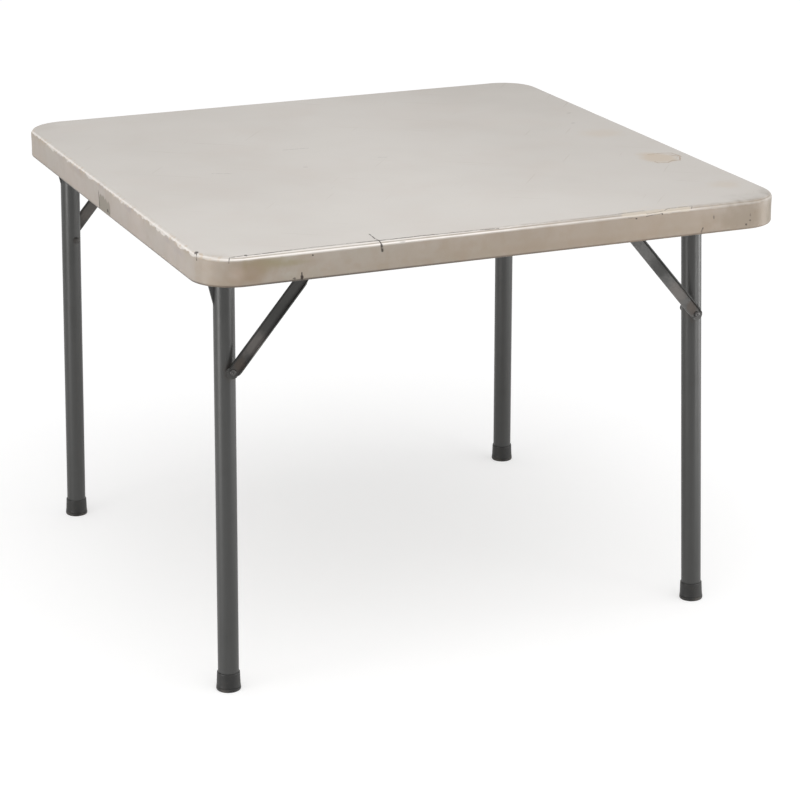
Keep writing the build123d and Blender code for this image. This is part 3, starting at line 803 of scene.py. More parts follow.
def clouds_group(name):
    """Soft clouds: noise that rises from 0 to 1 between two of its values."""
    tree, given, out = new_group(name, [
        ("Position", VECTOR, None), ("Scale", FLOAT, 5.0), ("Detail", FLOAT, 4.0),
        ("Low", FLOAT, 0.4), ("High", FLOAT, 0.6)])
    value = put(tree, "ShaderNodeTexNoise", {
        "Vector": given["Position"], "Scale": given["Scale"], "Detail": given["Detail"],
        "Roughness": 0.55}).outputs["Fac"]
    tree.links.new(ramp(tree, value, given["Low"], given["High"]), out[0])


def line_mark_group(name):
    """Line from Start to End: 1 within half its width of it, fading outside."""
    tree, given, out = new_group(name, [
        ("Position", VECTOR, None), ("Start", VECTOR, None), ("End", VECTOR, None),
        ("Half Width", FLOAT, 0.001), ("Strength", FLOAT, 1.0)])
    run = vector_calc(tree, "SUBTRACT", given["End"], given["Start"])
    off = vector_calc(tree, "SUBTRACT", given["Position"], given["Start"])
    share = calc(tree, "DIVIDE", vector_calc(tree, "DOT_PRODUCT", off, run, output=1),
                 vector_calc(tree, "DOT_PRODUCT", run, run, output=1))
    share = put(tree, "ShaderNodeClamp", {"Value": share}).outputs[0]
    near = vector_calc(tree, "SCALE", run, share)
    distance = vector_calc(tree, "DISTANCE", off, near, output=1)
    outer = calc(tree, "MULTIPLY", given["Half Width"], 1.5)
    mask = ramp(tree, distance, outer, calc(tree, "MULTIPLY", given["Half Width"], 0.4))
    tree.links.new(calc(tree, "MULTIPLY", mask, given["Strength"]), out[0])


def band_group(name):
    """Band along a moulded edge: 1 near one value of Turn, with an uneven width."""
    tree, given, out = new_group(name, [
        ("Position", VECTOR, None), ("Turn", FLOAT, 0.0), ("Middle", FLOAT, 0.5),
        ("Half Width", FLOAT, 0.1), ("Uneven", FLOAT, 0.05), ("Grain", FLOAT, 60.0),
        ("Strength", FLOAT, 1.0)])
    centred = calc(tree, "SUBTRACT", noise(tree, given["Position"], given["Grain"], 3.0), 0.5)
    off = calc(tree, "ABSOLUTE", calc(tree, "SUBTRACT", given["Turn"], given["Middle"]))
    off = calc(tree, "MULTIPLY_ADD", centred, given["Uneven"], off)
    full = calc(tree, "MULTIPLY", given["Half Width"], 0.4)
    mask = ramp(tree, off, given["Half Width"], full)
    tree.links.new(calc(tree, "MULTIPLY", mask, given["Strength"]), out[0])


def blotch_group(name):
    """Blotch: 1 inside an ellipsoid with a ragged, soft edge."""
    tree, given, out = new_group(name, [
        ("Position", VECTOR, None), ("Centre", VECTOR, None),
        ("Radii", VECTOR, (0.01, 0.01, 0.01)), ("Ragged", FLOAT, 0.4), ("Softness", FLOAT, 0.3),
        ("Grain", FLOAT, 60.0), ("Strength", FLOAT, 1.0)])
    off = vector_calc(tree, "SUBTRACT", given["Position"], given["Centre"])
    off = vector_calc(tree, "DIVIDE", off, given["Radii"])
    distance = vector_calc(tree, "LENGTH", off, output=1)
    centred = calc(tree, "SUBTRACT", noise(tree, given["Position"], given["Grain"], 4.0), 0.5)
    distance = calc(tree, "MULTIPLY_ADD", centred, given["Ragged"], distance)
    high = calc(tree, "ADD", 1.0, given["Softness"])
    mask = ramp(tree, distance, high, calc(tree, "SUBTRACT", 1.0, given["Softness"]))
    tree.links.new(calc(tree, "MULTIPLY", mask, given["Strength"]), out[0])


def specks_group(name):
    """Sparse specks: peaks of fine noise above a level."""
    tree, given, out = new_group(name, [
        ("Position", VECTOR, None), ("Scale", FLOAT, 300.0), ("Level", FLOAT, 0.68)])
    value = noise(tree, given["Position"], given["Scale"])
    high = calc(tree, "ADD", given["Level"], 0.04)
    tree.links.new(ramp(tree, value, given["Level"], high), out[0])


def hairlines_group(name):
    """Fine scratches: noise drawn out along one direction of the given position."""
    tree, given, out = new_group(name, [
        ("Position", VECTOR, None), ("Turn", FLOAT, 0.0), ("Scale", FLOAT, 260.0),
        ("Level", FLOAT, 0.66)])
    turned_place = put(tree, "ShaderNodeVectorRotate", {
        "Vector": given["Position"], "Angle": given["Turn"]}, rotation_type="Z_AXIS")
    drawn = vector_calc(tree, "MULTIPLY", turned_place.outputs[0], (0.03, 1.0, 0.3))
    value = noise(tree, drawn, given["Scale"], 1.0)
    high = calc(tree, "ADD", given["Level"], 0.05)
    tree.links.new(ramp(tree, value, given["Level"], high), out[0])


def new_material(name, **constants):
    """A material with its Principled shader, whose plain values are set on the sockets."""
    material = bpy.data.materials.new(name)
    material.use_nodes = True
    tree = material.node_tree
    shader = tree.nodes["Principled BSDF"]
    for key, value in constants.items():
        shader.inputs[key.replace("_", " ")].default_value = value
    place = tree.nodes.new("ShaderNodeTexCoord").outputs["Object"]
    return material, tree, shader, place


def finish(tree, shader, base, rough, relief, strength, depth):
    """Feeds the colour, the roughness and a bump of the given strength and depth."""
    bump = put(tree, "ShaderNodeBump", {"Height": relief, "Strength": strength, "Distance": depth})
    for key, value in (("Base Color", base), ("Roughness", rough), ("Normal", bump.outputs[0])):
        tree.links.new(value, shader.inputs[key])


# Finishes

# Places of the marks on the top, in millimetres: path, half width, strength
CRACKS = [
    ([(-431.2, -465, 682), (-430.3, -464, 685.5), (-428.5, -461.5, 689), (-404, -464.5, 689.4),
      (-366, -463, 689.8), (-304, -461.5, 690), (-248, -461.5, 690), (-203, -463.3, 689.8),
      (-138, -463, 689.8), (-60, -464.5, 689.4), (-14, -466, 688.8)], 0.75, 0.85),
    ([(-14, -466, 688.8), (90, -465, 689.3), (178, -464, 689.6)], 0.5, 0.35),
    ([(-201.8, -424.4, 690), (-204, -452, 690), (-202.6, -464, 689.6), (-201.5, -468, 687),
      (-200.6, -470, 682), (-200, -470, 675)], 1.0, 1.0),
    ([(-200.8, -469.5, 684), (-200, -470, 676)], 1.9, 0.9),
    ([(-464.4, -421.5, 689), (-464.8, -424.7, 687.7), (-465.9, -427, 684.7), (-466.3, -428.6, 680)],
     1.0, 0.9),
    ([(178.5, -463.7, 689.6), (201, -462.6, 689.8), (227, -461.4, 690), (228.4, -468.5, 686.7),
      (241.7, -468, 687), (258.5, -467, 688.2), (265.5, -463.5, 689.7), (287, -463, 689.8),
      (307.6, -463.7, 689.6), (304, -468.5, 686.7)], 0.6, 0.6),
    ([(196, -469.6, 684), (210, -470, 682.5)], 0.5, 0.45),
    ([(226.5, -469.8, 683), (237, -469.6, 684), (254, -469.4, 684.6)], 0.6, 0.7),
    ([(-323.5, -470, 657), (-323.6, -469, 646)], 1.0, 1.0),
    ([(324, -470, 655), (321.8, -470, 651), (321.6, -468.5, 646.5)], 1.2, 1.0),
    ([(-470, 29.3, 674), (-470, 28, 660), (-470, 26.5, 648)], 1.7, 0.85),
    ([(-290, 9, 690), (-261, -3, 690)], 0.9, 0.35),
    ([(-130, 116, 690), (-87, 113, 690)], 0.9, 0.35),
    ([(-6, 10, 690), (6, 5, 690)], 1.0, 0.4),
    ([(-141, -7, 690), (-136, -9, 690)], 1.2, 0.35),
]
# Tan outline of the abraded place on the face, in the same form
SCORES = [
    ([(405, -143, 690), (429.4, -143.7, 690), (443.9, -149.8, 690), (447, -172, 690)], 1.6, 0.75),
    ([(391, -192, 690), (391.9, -200.7, 690), (407, -205.3, 690), (423.4, -193, 690),
      (432.5, -199, 690)], 1.6, 0.7),
    ([(447, -172, 690), (432.5, -199, 690)], 1.3, 0.85),
    ([(436, -160, 690), (446, -176, 690)], 2.4, 0.6),
    ([(420, -197, 690), (432, -197, 690)], 2.4, 0.6),
]
# Small dark nicks: centre, radii, strength
NICKS = [
    ((-464, -420.5, 689.2), (3.6, 3.4, 3), 0.85), ((-306.7, -470, 681), (1.6, 3, 1.2), 0.9),
    ((-405.1, -463.5, 690), (2.2, 2.2, 2), 0.8), ((-167.7, -469, 685.5), (5, 3, 0.8), 0.3),
    ((-335, -470, 650), (2.2, 3, 1.5), 0.7), ((-323.6, -470, 650), (2.4, 3, 3.4), 1.0),
    ((210.2, -470, 681.6), (1.7, 3, 1.2), 0.8), ((254, -470, 684), (1.4, 3, 1.2), 0.7),
    ((342.2, -470, 670.1), (1.5, 3, 2.8), 0.45), ((405.6, -470, 667), (1.2, 3, 2.2), 0.35),
    ((405.8, -470, 658.8), (1.6, 3, 1.4), 0.5), ((398.7, -470, 652.9), (1.8, 3, 1.4), 0.75),
    ((-470, -16.8, 654), (3, 3.6, 2.6), 0.85), ((-470, -25, 652), (3, 2.4, 2), 0.6),
    ((424.7, 183.5, 690), (4, 2, 3), 0.35), ((395.8, 110.5, 690), (4, 2, 3), 0.3),
]
# Spots on a brace: distance from its rivet and radii in millimetres, colour, strength
BRACE_SPOTS = [
    (52, (19, 12, 17), "scuff", 0.6), (14, (9, 10, 11), "rust", 0.4),
    (110, (20, 12, 16), "enamel_dark", 0.5),
]
# Rise of a brace for its run in X, and strength of the painted shade in its upper flange
BRACE_SLOPE, BRACE_FLANGE_SHADE = 1.19, 0.85
# Bare metals by slot: name, bright and dull colour, metallic, roughness, streaks, scale
METALS = {
    "rivet_steel": ("rivet_steel_dark", (0.075, 0.072, 0.07), (0.04, 0.036, 0.033), 0.5, 0.34,
                    (1, 1, 1), 400.0),
    "zinc_screw": ("zinc_screw_plated", (0.62, 0.62, 0.60), (0.40, 0.39, 0.36), 0.9, 0.28,
                   (1, 1, 1), 500.0),
    "track_aluminium": ("track_aluminium_drawn", (0.66, 0.67, 0.68), (0.48, 0.48, 0.48), 0.95,
                        0.3, (0.03, 1, 1), 420.0),
    "spring_steel": ("spring_steel_blued", (0.30, 0.31, 0.33), (0.16, 0.16, 0.18), 0.9, 0.25,
                     (0.1, 1, 1), 500.0),
}
FRESH_NYLON = (0.50, 0.48, 0.42)
# Stains on the top: colour name, centre, radii, ragged edge, softness, strength
STAINS = [
    ("bruise", (-470, 0, 664), (5, 430, 21), 0.9, 0.5, 0.35),
    ("olive", (-381, -470, 678), (30, 9, 5.5), 0.9, 0.7, 0.75),
    ("olive", (-372, -470, 673), (22, 9, 6), 1.0, 0.8, 0.5),
    ("olive", (-381, -470, 667), (9, 9, 6), 1.0, 0.8, 0.5),
    ("olive", (-341, -470, 673), (24, 9, 3.4), 0.9, 0.8, 0.5),
    ("olive", (-408.5, -470, 674), (4, 9, 11), 1.0, 0.8, 0.6),
    ("rim_dirt", (-402, -470, 657), (15, 9, 5), 1.0, 0.9, 0.6),
    ("rim_dirt", (-398, -470, 666), (16, 9, 9), 1.0, 0.8, 0.45),
    ("pink", (-420, -470, 665), (10, 9, 9), 1.0, 0.8, 0.5),
    ("rim_dirt", (-440, -458, 652), (44, 30, 7), 1.2, 0.8, 0.25),
    ("rim_dirt", (150, -470, 655), (300, 9, 6), 1.4, 0.8, 0.25),
    ("rim_dirt", (140, -470, 668), (360, 9, 26), 1.1, 0.6, 0.42),
    ("rim_dirt", (-405, -470, 668), (44, 9, 17), 0.9, 0.6, 0.6),
    ("rim_dirt", (-455, -455, 668), (26, 30, 22), 0.8, 0.6, 0.4),
    ("rim_dirt", (270, -470, 662), (200, 10, 20), 1.3, 0.7, 0.2),
    ("rim_dirt", (400, -468, 662), (56, 10, 21), 1.3, 0.7, 0.7),
    ("rim_dirt", (448, -455, 661), (40, 34, 20), 0.7, 0.5, 0.9),
    ("patch", (425, -464, 665), (72, 40, 24), 0.9, 0.6, 0.42),
    ("patch", (466, -440, 666), (26, 36, 26), 0.8, 0.5, 0.6),
    ("patch", (-470, 19, 658), (5, 9.5, 15), 0.35, 0.12, 1.0),
    ("patch", (-470, 6, 657.5), (5, 10, 14.5), 0.35, 0.12, 1.0),
    ("patch", (-470, -8, 656.5), (5, 10, 14), 0.35, 0.12, 1.0),
    ("patch", (-470, -21, 655.5), (5, 9, 13.5), 0.35, 0.12, 1.0),
    ("rim_dirt", (-470, 150, 680), (4, 40, 5), 1.4, 0.6, 0.3),
    ("bruise", (-469, 150, 682), (5, 18, 4), 1.6, 0.8, 0.65),
    ("bruise", (-469, 241, 683), (5, 21, 4), 1.6, 0.8, 0.4),
    ("bruise", (-469, 20, 684), (5, 19, 4), 1.6, 0.8, 0.5),
    ("bruise", (-469, -123, 682), (5, 17, 4), 1.6, 0.8, 0.7),
    ("bruise", (-469, -313, 680), (5, 16, 4), 1.6, 0.8, 0.7),
    ("bruise", (-469, -358, 676), (5, 18, 4), 1.6, 0.8, 0.6),
    ("rim_dirt", (-452, 440, 670), (30, 40, 26), 0.8, 0.6, 0.25),
    ("tan", (409, -172, 690), (27, 28, 4), 0.3, 0.35, 0.55),
    ("tan", (402, -142, 690), (16, 12, 4), 0.8, 0.8, 0.4),
    ("tan", (420, -368, 690), (22, 18, 4), 1.6, 0.8, 0.24),
    ("tan", (404, 22, 690), (30, 26, 4), 1.1, 0.7, 0.25),
]


def millimetres(point):
    """A place given in millimetres."""
    return tuple(value * MM for value in point)


def face_with_painted_shade(tree, tint, x, y, clouds, patches):
    """Colour of the face: painted shade towards the back and the right, faintly mottled, and
    pinkish in patches.
    """
    # Painted shade: the face darkens towards the back and the right, with faint mottling
    to_back = ramp(tree, y, -0.44, 0.44, smooth=False)
    to_right = product(tree, ramp(tree, x, 0.0, 0.42, smooth=False),
                       calc(tree, "MULTIPLY_ADD", to_back, -0.25, 0.5))
    soiled = calc(tree, "MULTIPLY_ADD", to_back, 0.55, to_right)
    soiled = calc(tree, "MULTIPLY_ADD", clouds, 0.16, soiled)
    base = tinge(tree, rgba(tint.top), tint.top_painted_shade, soiled)
    return tinge(tree, base, tint.pink, patches, 0.10)


def soiled_rim_with_painted_shade(tree, tint, place, z, patches):
    """Colour of the rim: greyer and darker than the face, with faint green, pink and brown
    patches, browner towards its foot, and painted shade along its lower edge."""
    foot = top_low.z
    clouds = effect(tree, "clouds", Position=place, Scale=15.0, Detail=5.0, Low=0.4, High=0.72)
    aside = vector_calc(tree, "ADD", place, (3.0, 1.0, 2.0))
    green = effect(tree, "clouds", Position=aside, Scale=19.0, Detail=4.0, Low=0.5, High=0.72)
    mottled = effect(tree, "clouds", Position=place, Scale=46.0, Detail=6.0, Low=0.44, High=0.66)
    near_foot = ramp(tree, z, foot + 14 * MM, foot + 2 * MM)
    # Painted shade: a dark line along the rim's lower edge, which faces down
    under = ramp(tree, z, foot + 4.6 * MM, foot + 1.8 * MM)
    rim = rgba(tint.rim)
    for colour_value, mask, strength in (
            (tint.rim_dirt, clouds, 0.3), (tint.olive, green, 0.14),
            (tint.rim_dirt, mottled, 0.26), (tint.pink, patches, 0.2),
            (tint.rim_dirt, near_foot, 0.18), (tint.crack_dirt_and_shade, under, 0.8)):
        rim = tinge(tree, rim, colour_value, mask, strength)
    return rim


def on_rim(tree, place, x, turn):
    """1 on the rim and 0 on the face, with a gnawed border along the left edge."""
    gnawed = calc(tree, "MULTIPLY_ADD", noise(tree, place, 48.0, 4.0), 1.5, -0.62)
    gnawed = product(tree, gnawed, ramp(tree, x, -0.455, -0.466),
                     product(tree, ramp(tree, turn, 0.05, 0.4), ramp(tree, turn, 0.999, 0.97)))
    return ramp(tree, calc(tree, "ADD", turn, gnawed), 0.8, 0.95)


def worn_edge_with_painted_highlights(tree, tint, place, base):
    """Colour with the worn edge, and the mask of its painted highlight lines: tan chips, painted
    highlights where the edge turns over, a darker line between, and the short strip whose skin has peeled."""
    wear, turn = attribute(tree, "wear"), attribute(tree, "turn")
    x, y, _ = put(tree, "ShaderNodeSeparateXYZ", {0: place}).outputs

    def band(middle, half_width, uneven, grain, strength):
        return effect(tree, "band", Position=place, Turn=turn, Middle=middle,
                      Half_Width=half_width, Uneven=uneven, Grain=grain, Strength=strength)

    at_front = ramp(tree, y, -0.43, -0.455)
    at_left = ramp(tree, x, -0.43, -0.455)
    chips = effect(tree, "clouds", Position=place, Scale=120.0, Detail=3.0, Low=0.5, High=0.6)
    chips = product(tree, wear, chips, calc(tree, "MULTIPLY_ADD", at_left, 0.5, 0.3))
    base = tinge(tree, base, tint.tan, chips)

    # Along the front: upper and lower painted highlight lines with a darker brown line between them
    stripped = product(tree, at_front, ramp(tree, x, -0.432, -0.42))
    upper = product(tree, band(0.30, 0.09, 0.07, 50.0, 0.85), stripped, ramp(tree, x, 0.12, 0.0))
    fading = calc(tree, "MULTIPLY_ADD", ramp(tree, x, -0.05, 0.06), -0.5,
                  ramp(tree, x, -0.475, -0.415))
    fading = calc(tree, "MULTIPLY_ADD", ramp(tree, x, 0.29, 0.34), -0.36, fading)
    lower = product(tree, band(0.67, 0.115, 0.10, 40.0, 1.0), product(tree, at_front, fading))
    # Painted highlight along the left edge, of uneven width
    left_edge_highlight = product(tree, band(0.52, 0.16, 0.28, 60.0, 0.46), at_left)
    bright = strongest(tree, [upper, calc(tree, "MAXIMUM", lower, left_edge_highlight)])
    seam = product(tree, band(0.48, 0.05, 0.03, 60.0, 0.6), stripped)
    # The painted highlights are laid on in the pale colour
    base = tinge(tree, base, tint.bared, bright)
    base = tinge(tree, base, tint.rim_dirt, seam)
    strip = product(tree, ramp(tree, x, 0.184, 0.19), ramp(tree, x, 0.306, 0.300), at_front)
    strip = product(tree, strip, band(0.42, 0.45, 0.7, 70.0, 0.6))
    return tinge(tree, base, tint.peel, strip), bright


def scored(tree, place):
    """Masks of the scores and of the cracks with the nicks, on one slightly wandering place."""
    shift = noise(tree, place, 70.0, output="Color")
    shift = vector_calc(tree, "SUBTRACT", shift, (0.5, 0.5, 0.5))
    wandering = vector_calc(tree, "ADD", place, vector_calc(tree, "SCALE", shift, 2.0 * MM))
    broken = ramp(tree, noise(tree, place, 190.0, 1.0), 0.32, 0.5)
    broken = calc(tree, "MULTIPLY_ADD", broken, 0.5, 0.5)
    scores, cracks = (
        product(tree, strongest(tree, [
            effect(tree, "line mark", Position=wandering, Start=millimetres(start),
                   End=millimetres(end), Half_Width=width * MM, Strength=strength)
            for path, width, strength in marks for start, end in zip(path, path[1:])]), broken)
        for marks in (SCORES, CRACKS))
    nicks = [effect(tree, "blotch", Position=place, Centre=millimetres(centre),
                    Radii=millimetres(radii), Ragged=1.4, Softness=0.3, Grain=420.0,
                    Strength=strength) for centre, radii, strength in NICKS]
    return scores, calc(tree, "MAXIMUM", cracks, strongest(tree, nicks))


def top_plastic():
    """Pale grey-beige plastic, fine-grained, faintly clouded, painted shade on the back and right,
    soiled at the rim with painted shade at its foot, painted highlights along its worn edge,
    with cracks, stains and a stripped strip."""
    tint = bpy.context.scene.card_table_colours
    material, tree, shader, place = new_material("top_plastic", Specular_IOR_Level=0.35)
    x, y, z = put(tree, "ShaderNodeSeparateXYZ", {0: place}).outputs
    clouds = effect(tree, "clouds", Position=place, Scale=2.4, Detail=4.0, Low=0.34, High=0.68)
    patches = effect(tree, "clouds", Position=place, Scale=9.0, Detail=5.0, Low=0.42, High=0.75)
    base = blend_colour(
        tree, on_rim(tree, place, x, attribute(tree, "turn")),
        face_with_painted_shade(tree, tint, x, y, clouds, patches), soiled_rim_with_painted_shade(tree, tint, place, z, patches))
    for name, centre, radii, ragged, soft, strength in STAINS:
        mask = effect(tree, "blotch", Position=place, Centre=millimetres(centre),
                      Radii=millimetres(radii), Ragged=ragged, Softness=soft, Strength=strength)
        base = tinge(tree, base, getattr(tint, name), mask)
    base, bright = worn_edge_with_painted_highlights(tree, tint, place, base)
    scores, cracks = scored(tree, place)
    scratches = strongest(tree, [
        effect(tree, "hairlines", Position=place, Turn=turn, Scale=scale, Level=level)
        for turn, scale, level in ((0.6, 230.0, 0.735), (-0.9, 190.0, 0.745))])
    dirt = effect(tree, "specks", Position=place, Scale=330.0, Level=0.74)
    base = tinge(tree, base, tint.score, scores)
    base = tinge(tree, base, tint.rim_dirt, scratches, 0.08)
    base = tinge(tree, base, tint.rim_dirt, dirt, 0.25)
    base = tinge(tree, base, tint.crack_dirt_and_shade, cracks)

    rough = calc(tree, "MULTIPLY_ADD", clouds, 0.05, 0.42)
    rough = calc(tree, "MULTIPLY_ADD", patches, 0.05, rough)
    rough = calc(tree, "MULTIPLY_ADD", bright, -0.14, rough)
    rough = calc(tree, "MULTIPLY_ADD", calc(tree, "MAXIMUM", scratches, cracks), 0.2, rough)
    relief = calc(tree, "MULTIPLY", noise(tree, place, 900.0), 0.2)
    for mask, depth in ((scratches, 0.2), (cracks, 1.2)):
        relief = calc(tree, "SUBTRACT", relief, calc(tree, "MULTIPLY", mask, depth))
    finish(tree, shader, base, rough, relief, 0.35, 0.4 * MM)
    return material


def enamel(name, colour_value, spots, streak, grime=0.0):
    """Grey stoved paint on steel: drawn-out streaks, rubbed patches, specks of rust, spots given
    by centre, radii in millimetres, colour and strength, and painted shade where the mesh marks it."""
    tint = bpy.context.scene.card_table_colours
    material, tree, shader, place = new_material(name, Metallic=0.3, Specular_IOR_Level=0.45)
    drawn = vector_calc(tree, "MULTIPLY", place, streak)
    streaks = effect(tree, "clouds", Position=drawn, Scale=60.0, Detail=4.0, Low=0.3, High=0.7)
    patches = effect(tree, "clouds", Position=place, Scale=18.0, Detail=6.0, Low=0.5, High=0.72)
    specks = effect(tree, "specks", Position=place, Scale=230.0, Level=0.72)
    base = tinge(tree, rgba(colour_value), tint.enamel_dark, streaks, 0.3)
    base = tinge(tree, base, tint.enamel_dark, patches, 0.25)
    base = tinge(tree, base, tint.rust, specks, 0.4)
    worn = [specks]
    for centre, radii, kind, strength in spots:
        mask = effect(tree, "blotch", Position=place, Centre=tuple(centre),
                      Radii=millimetres(radii), Ragged=1.3, Softness=0.5, Grain=110.0,
                      Strength=strength)
        base = tinge(tree, base, getattr(tint, kind), mask)
        worn.append(mask)
    # Painted shade: the marked part of the sheet is darkened with the caps' black
    if grime:
        painted_flange_shade = ramp(tree, attribute(tree, "grime"), 0.05, 0.4)
        base = tinge(tree, base, tint.cap, painted_flange_shade, grime)
    rough = calc(tree, "MULTIPLY_ADD", streaks, 0.06, 0.36)
    rough = calc(tree, "MULTIPLY_ADD", strongest(tree, worn), 0.2, rough)
    grain = calc(tree, "MULTIPLY", noise(tree, place, 1400.0), 0.25)
    relief = calc(tree, "MULTIPLY_ADD", specks, 0.8, grain)
    finish(tree, shader, base, rough, relief, 0.25, 0.3 * MM)
    return material


def frame_enamel():
    """Paint of the leg frames, streaked along the legs and a little rusty round the rivets."""
    name = "frame_enamel_paint"
    if name in bpy.data.materials:
        return bpy.data.materials[name]
    tint = bpy.context.scene.card_table_colours
    spots = [(joint_places[f"{corner}_brace_swing"], (12, 30, 14), "rust", 0.18)
             for _, corner in corners]
    return enamel(name, tint.enamel, spots, (1.0, 1.0, 0.05))


def brace_enamel():
    """Paint of the braces, scuffed pale in the middle, rusty near the rivets, and dark with
    painted shade in the upper flange."""
    tint = bpy.context.scene.card_table_colours
    spots = []
    for side, corner in corners:
        rivet = joint_places[f"{corner}_brace_swing"]
        along = Vector((1 if side == "left" else -1, 0, BRACE_SLOPE)).normalized()
        for reach, radii, kind, strength in BRACE_SPOTS:
            spots.append((rivet + along * reach * MM, radii, kind, strength))
    return enamel("brace_enamel_paint", tint.brace, spots, (0.5, 1.0, 0.5), BRACE_FLANGE_SHADE)


def cap_plastic():
    """Black plastic, dusty towards the floor, with fine scuffs."""
    name = "cap_plastic_black"
    if name in bpy.data.materials:
        return bpy.data.materials[name]
    tint = bpy.context.scene.card_table_colours
    material, tree, shader, place = new_material(name, Specular_IOR_Level=0.4)
    height = put(tree, "ShaderNodeSeparateXYZ", {0: place}).outputs["Z"]
    low = ramp(tree, height, 9 * MM, 0.0)
    clouds = effect(tree, "clouds", Position=place, Scale=70.0, Detail=5.0, Low=0.4, High=0.7)
    scuffs = effect(tree, "specks", Position=place, Scale=420.0, Level=0.66)
    dusty = product(tree, clouds, calc(tree, "MULTIPLY_ADD", low, 0.45, 0.06))
    dusty = calc(tree, "MULTIPLY_ADD", scuffs, 0.12, dusty)
    base = tinge(tree, rgba(tint.cap), tint.dust, dusty)
    rough = calc(tree, "MULTIPLY_ADD", clouds, 0.2, 0.42)
    finish(tree, shader, base, rough, noise(tree, place, 1100.0), 0.2, 0.3 * MM)
    return material


def bare_metal(slot):
    """Bare or plated metal of a slot: drawn-out tool marks and dull patches."""
    name, bright, dull, metallic, rough, streak, scale = METALS[slot]
    if name in bpy.data.materials:
        return bpy.data.materials[name]
    material, tree, shader, place = new_material(name, Metallic=metallic)
    drawn = vector_calc(tree, "MULTIPLY", place, streak)
    marks = effect(tree, "clouds", Position=drawn, Scale=scale, Detail=3.0, Low=0.3, High=0.7)
    patches = effect(tree, "clouds", Position=place, Scale=45.0, Detail=5.0, Low=0.42, High=0.66)
    base = tinge(tree, rgba(bright), dull, patches)
    base = tinge(tree, base, dull, marks, 0.25)
    rough = calc(tree, "MULTIPLY_ADD", patches, 0.2, rough)
    finish(tree, shader, base, rough, marks, 0.15, 0.2 * MM)
    return material


def nylon(name, fresh, greasy):
    """Nylon, greasy in patches."""
    material, tree, shader, place = new_material(name, Specular_IOR_Level=0.4)
    patches = effect(tree, "clouds", Position=place, Scale=60.0, Detail=5.0, Low=0.45, High=0.7)
    base = tinge(tree, rgba(fresh), greasy, patches, 0.6)
    rough = calc(tree, "MULTIPLY_ADD", patches, -0.15, 0.5)
    finish(tree, shader, base, rough, noise(tree, place, 700.0), 0.15, 0.2 * MM)
    return material


class CARDTABLE_OT_finishes(bpy.types.Operator):
    """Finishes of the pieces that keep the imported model's shape"""

    bl_idname = "card_table.finishes"
    bl_label = "Finishes"

    def execute(self, context):
        tint = context.scene.card_table_colours
        by_slot = {"frame_enamel": frame_enamel(), "black_plastic": cap_plastic(),
                   "bush_nylon": nylon("bush_nylon_milky", FRESH_NYLON, tint.grease)}
        for slot in ("rivet_steel", "track_aluminium", "spring_steel"):
            by_slot[slot] = bare_metal(slot)
        collar = nylon("collar_nylon_grey", tint.grease, tint.cap)
        for part in frame["record"]["subparts"]:
            node = frame["nodes"][part["node"]]
            material = by_slot.get(part["material_slot"])
            if part["node"].endswith("_spacer"):
                material = collar
            if node.hide_render or material is None:
                continue
            if not node.material_slots:
                node.data.materials.append(material)
            for slot in node.material_slots:
                slot.material = material
        return {"FINISHED"}


# Stage

# Lamps: name, kind, place, point aimed at, property with the strength, settings
LAMPS = [
    ("key_above_front", "SUN", (-0.3, -1.3, 4.2), (0, 0, 0.3), "key", {
        "angle": math.radians(60)}),
    ("box_above_front", "AREA", (-0.25, -0.95, 2.3), (-0.05, -0.3, 0.69), "box", {
        "shape": "SQUARE", "size": 1.3}),
    ("strip_left", "AREA", (-2.6, -0.7, 0.22), (-0.4, 0, 0.4), "strip_left", {
        "shape": "RECTANGLE", "size": 0.8, "size_y": 0.4}),
    ("strip_right", "AREA", (2.3, -0.85, 0.22), (0.4, 0, 0.4), "strip_right", {
        "shape": "RECTANGLE", "size": 0.8, "size_y": 0.4}),
    ("strip_front", "AREA", (1.25, -1.75, 0.22), (0, 0, 0.4), "strip_front", {
        "shape": "RECTANGLE", "size": 0.5, "size_y": 0.4}),
]
WHITE = (1, 1, 1, 1)
# The floor's radius, the steps round it, and how pale it is
FLOOR_RADIUS, FLOOR_STEPS, FLOOR_PALENESS = 30, 96, 0.98
# Width of the camera's sensor in millimetres, and how far it sees in metres
SENSOR_WIDTH, VIEW_REACH = 36.0, 100.0


def add_light(name, kind, place, aim, energy, settings):
    """A lamp at a place, aimed at a point."""
    light = bpy.data.lights.new(name, kind)
    light.energy = energy
    for key, value in settings.items():
        setattr(light, key, value)
    lamp = bpy.data.objects.new(name, light)
    lamp.location = place
    lamp.rotation_euler = (Vector(aim) - Vector(place)).to_track_quat("-Z", "Y").to_euler()
    bpy.context.scene.collection.objects.link(lamp)


def shows_white(tree):
    """1 for the rays that see the background: from the camera, in a reflection or through glass."""
    path = put(tree, "ShaderNodeLightPath").outputs
    reflected = calc(tree, "MAXIMUM", path["Is Glossy Ray"], path["Is Transmission Ray"])
    return calc(tree, "MAXIMUM", path["Is Camera Ray"], reflected)


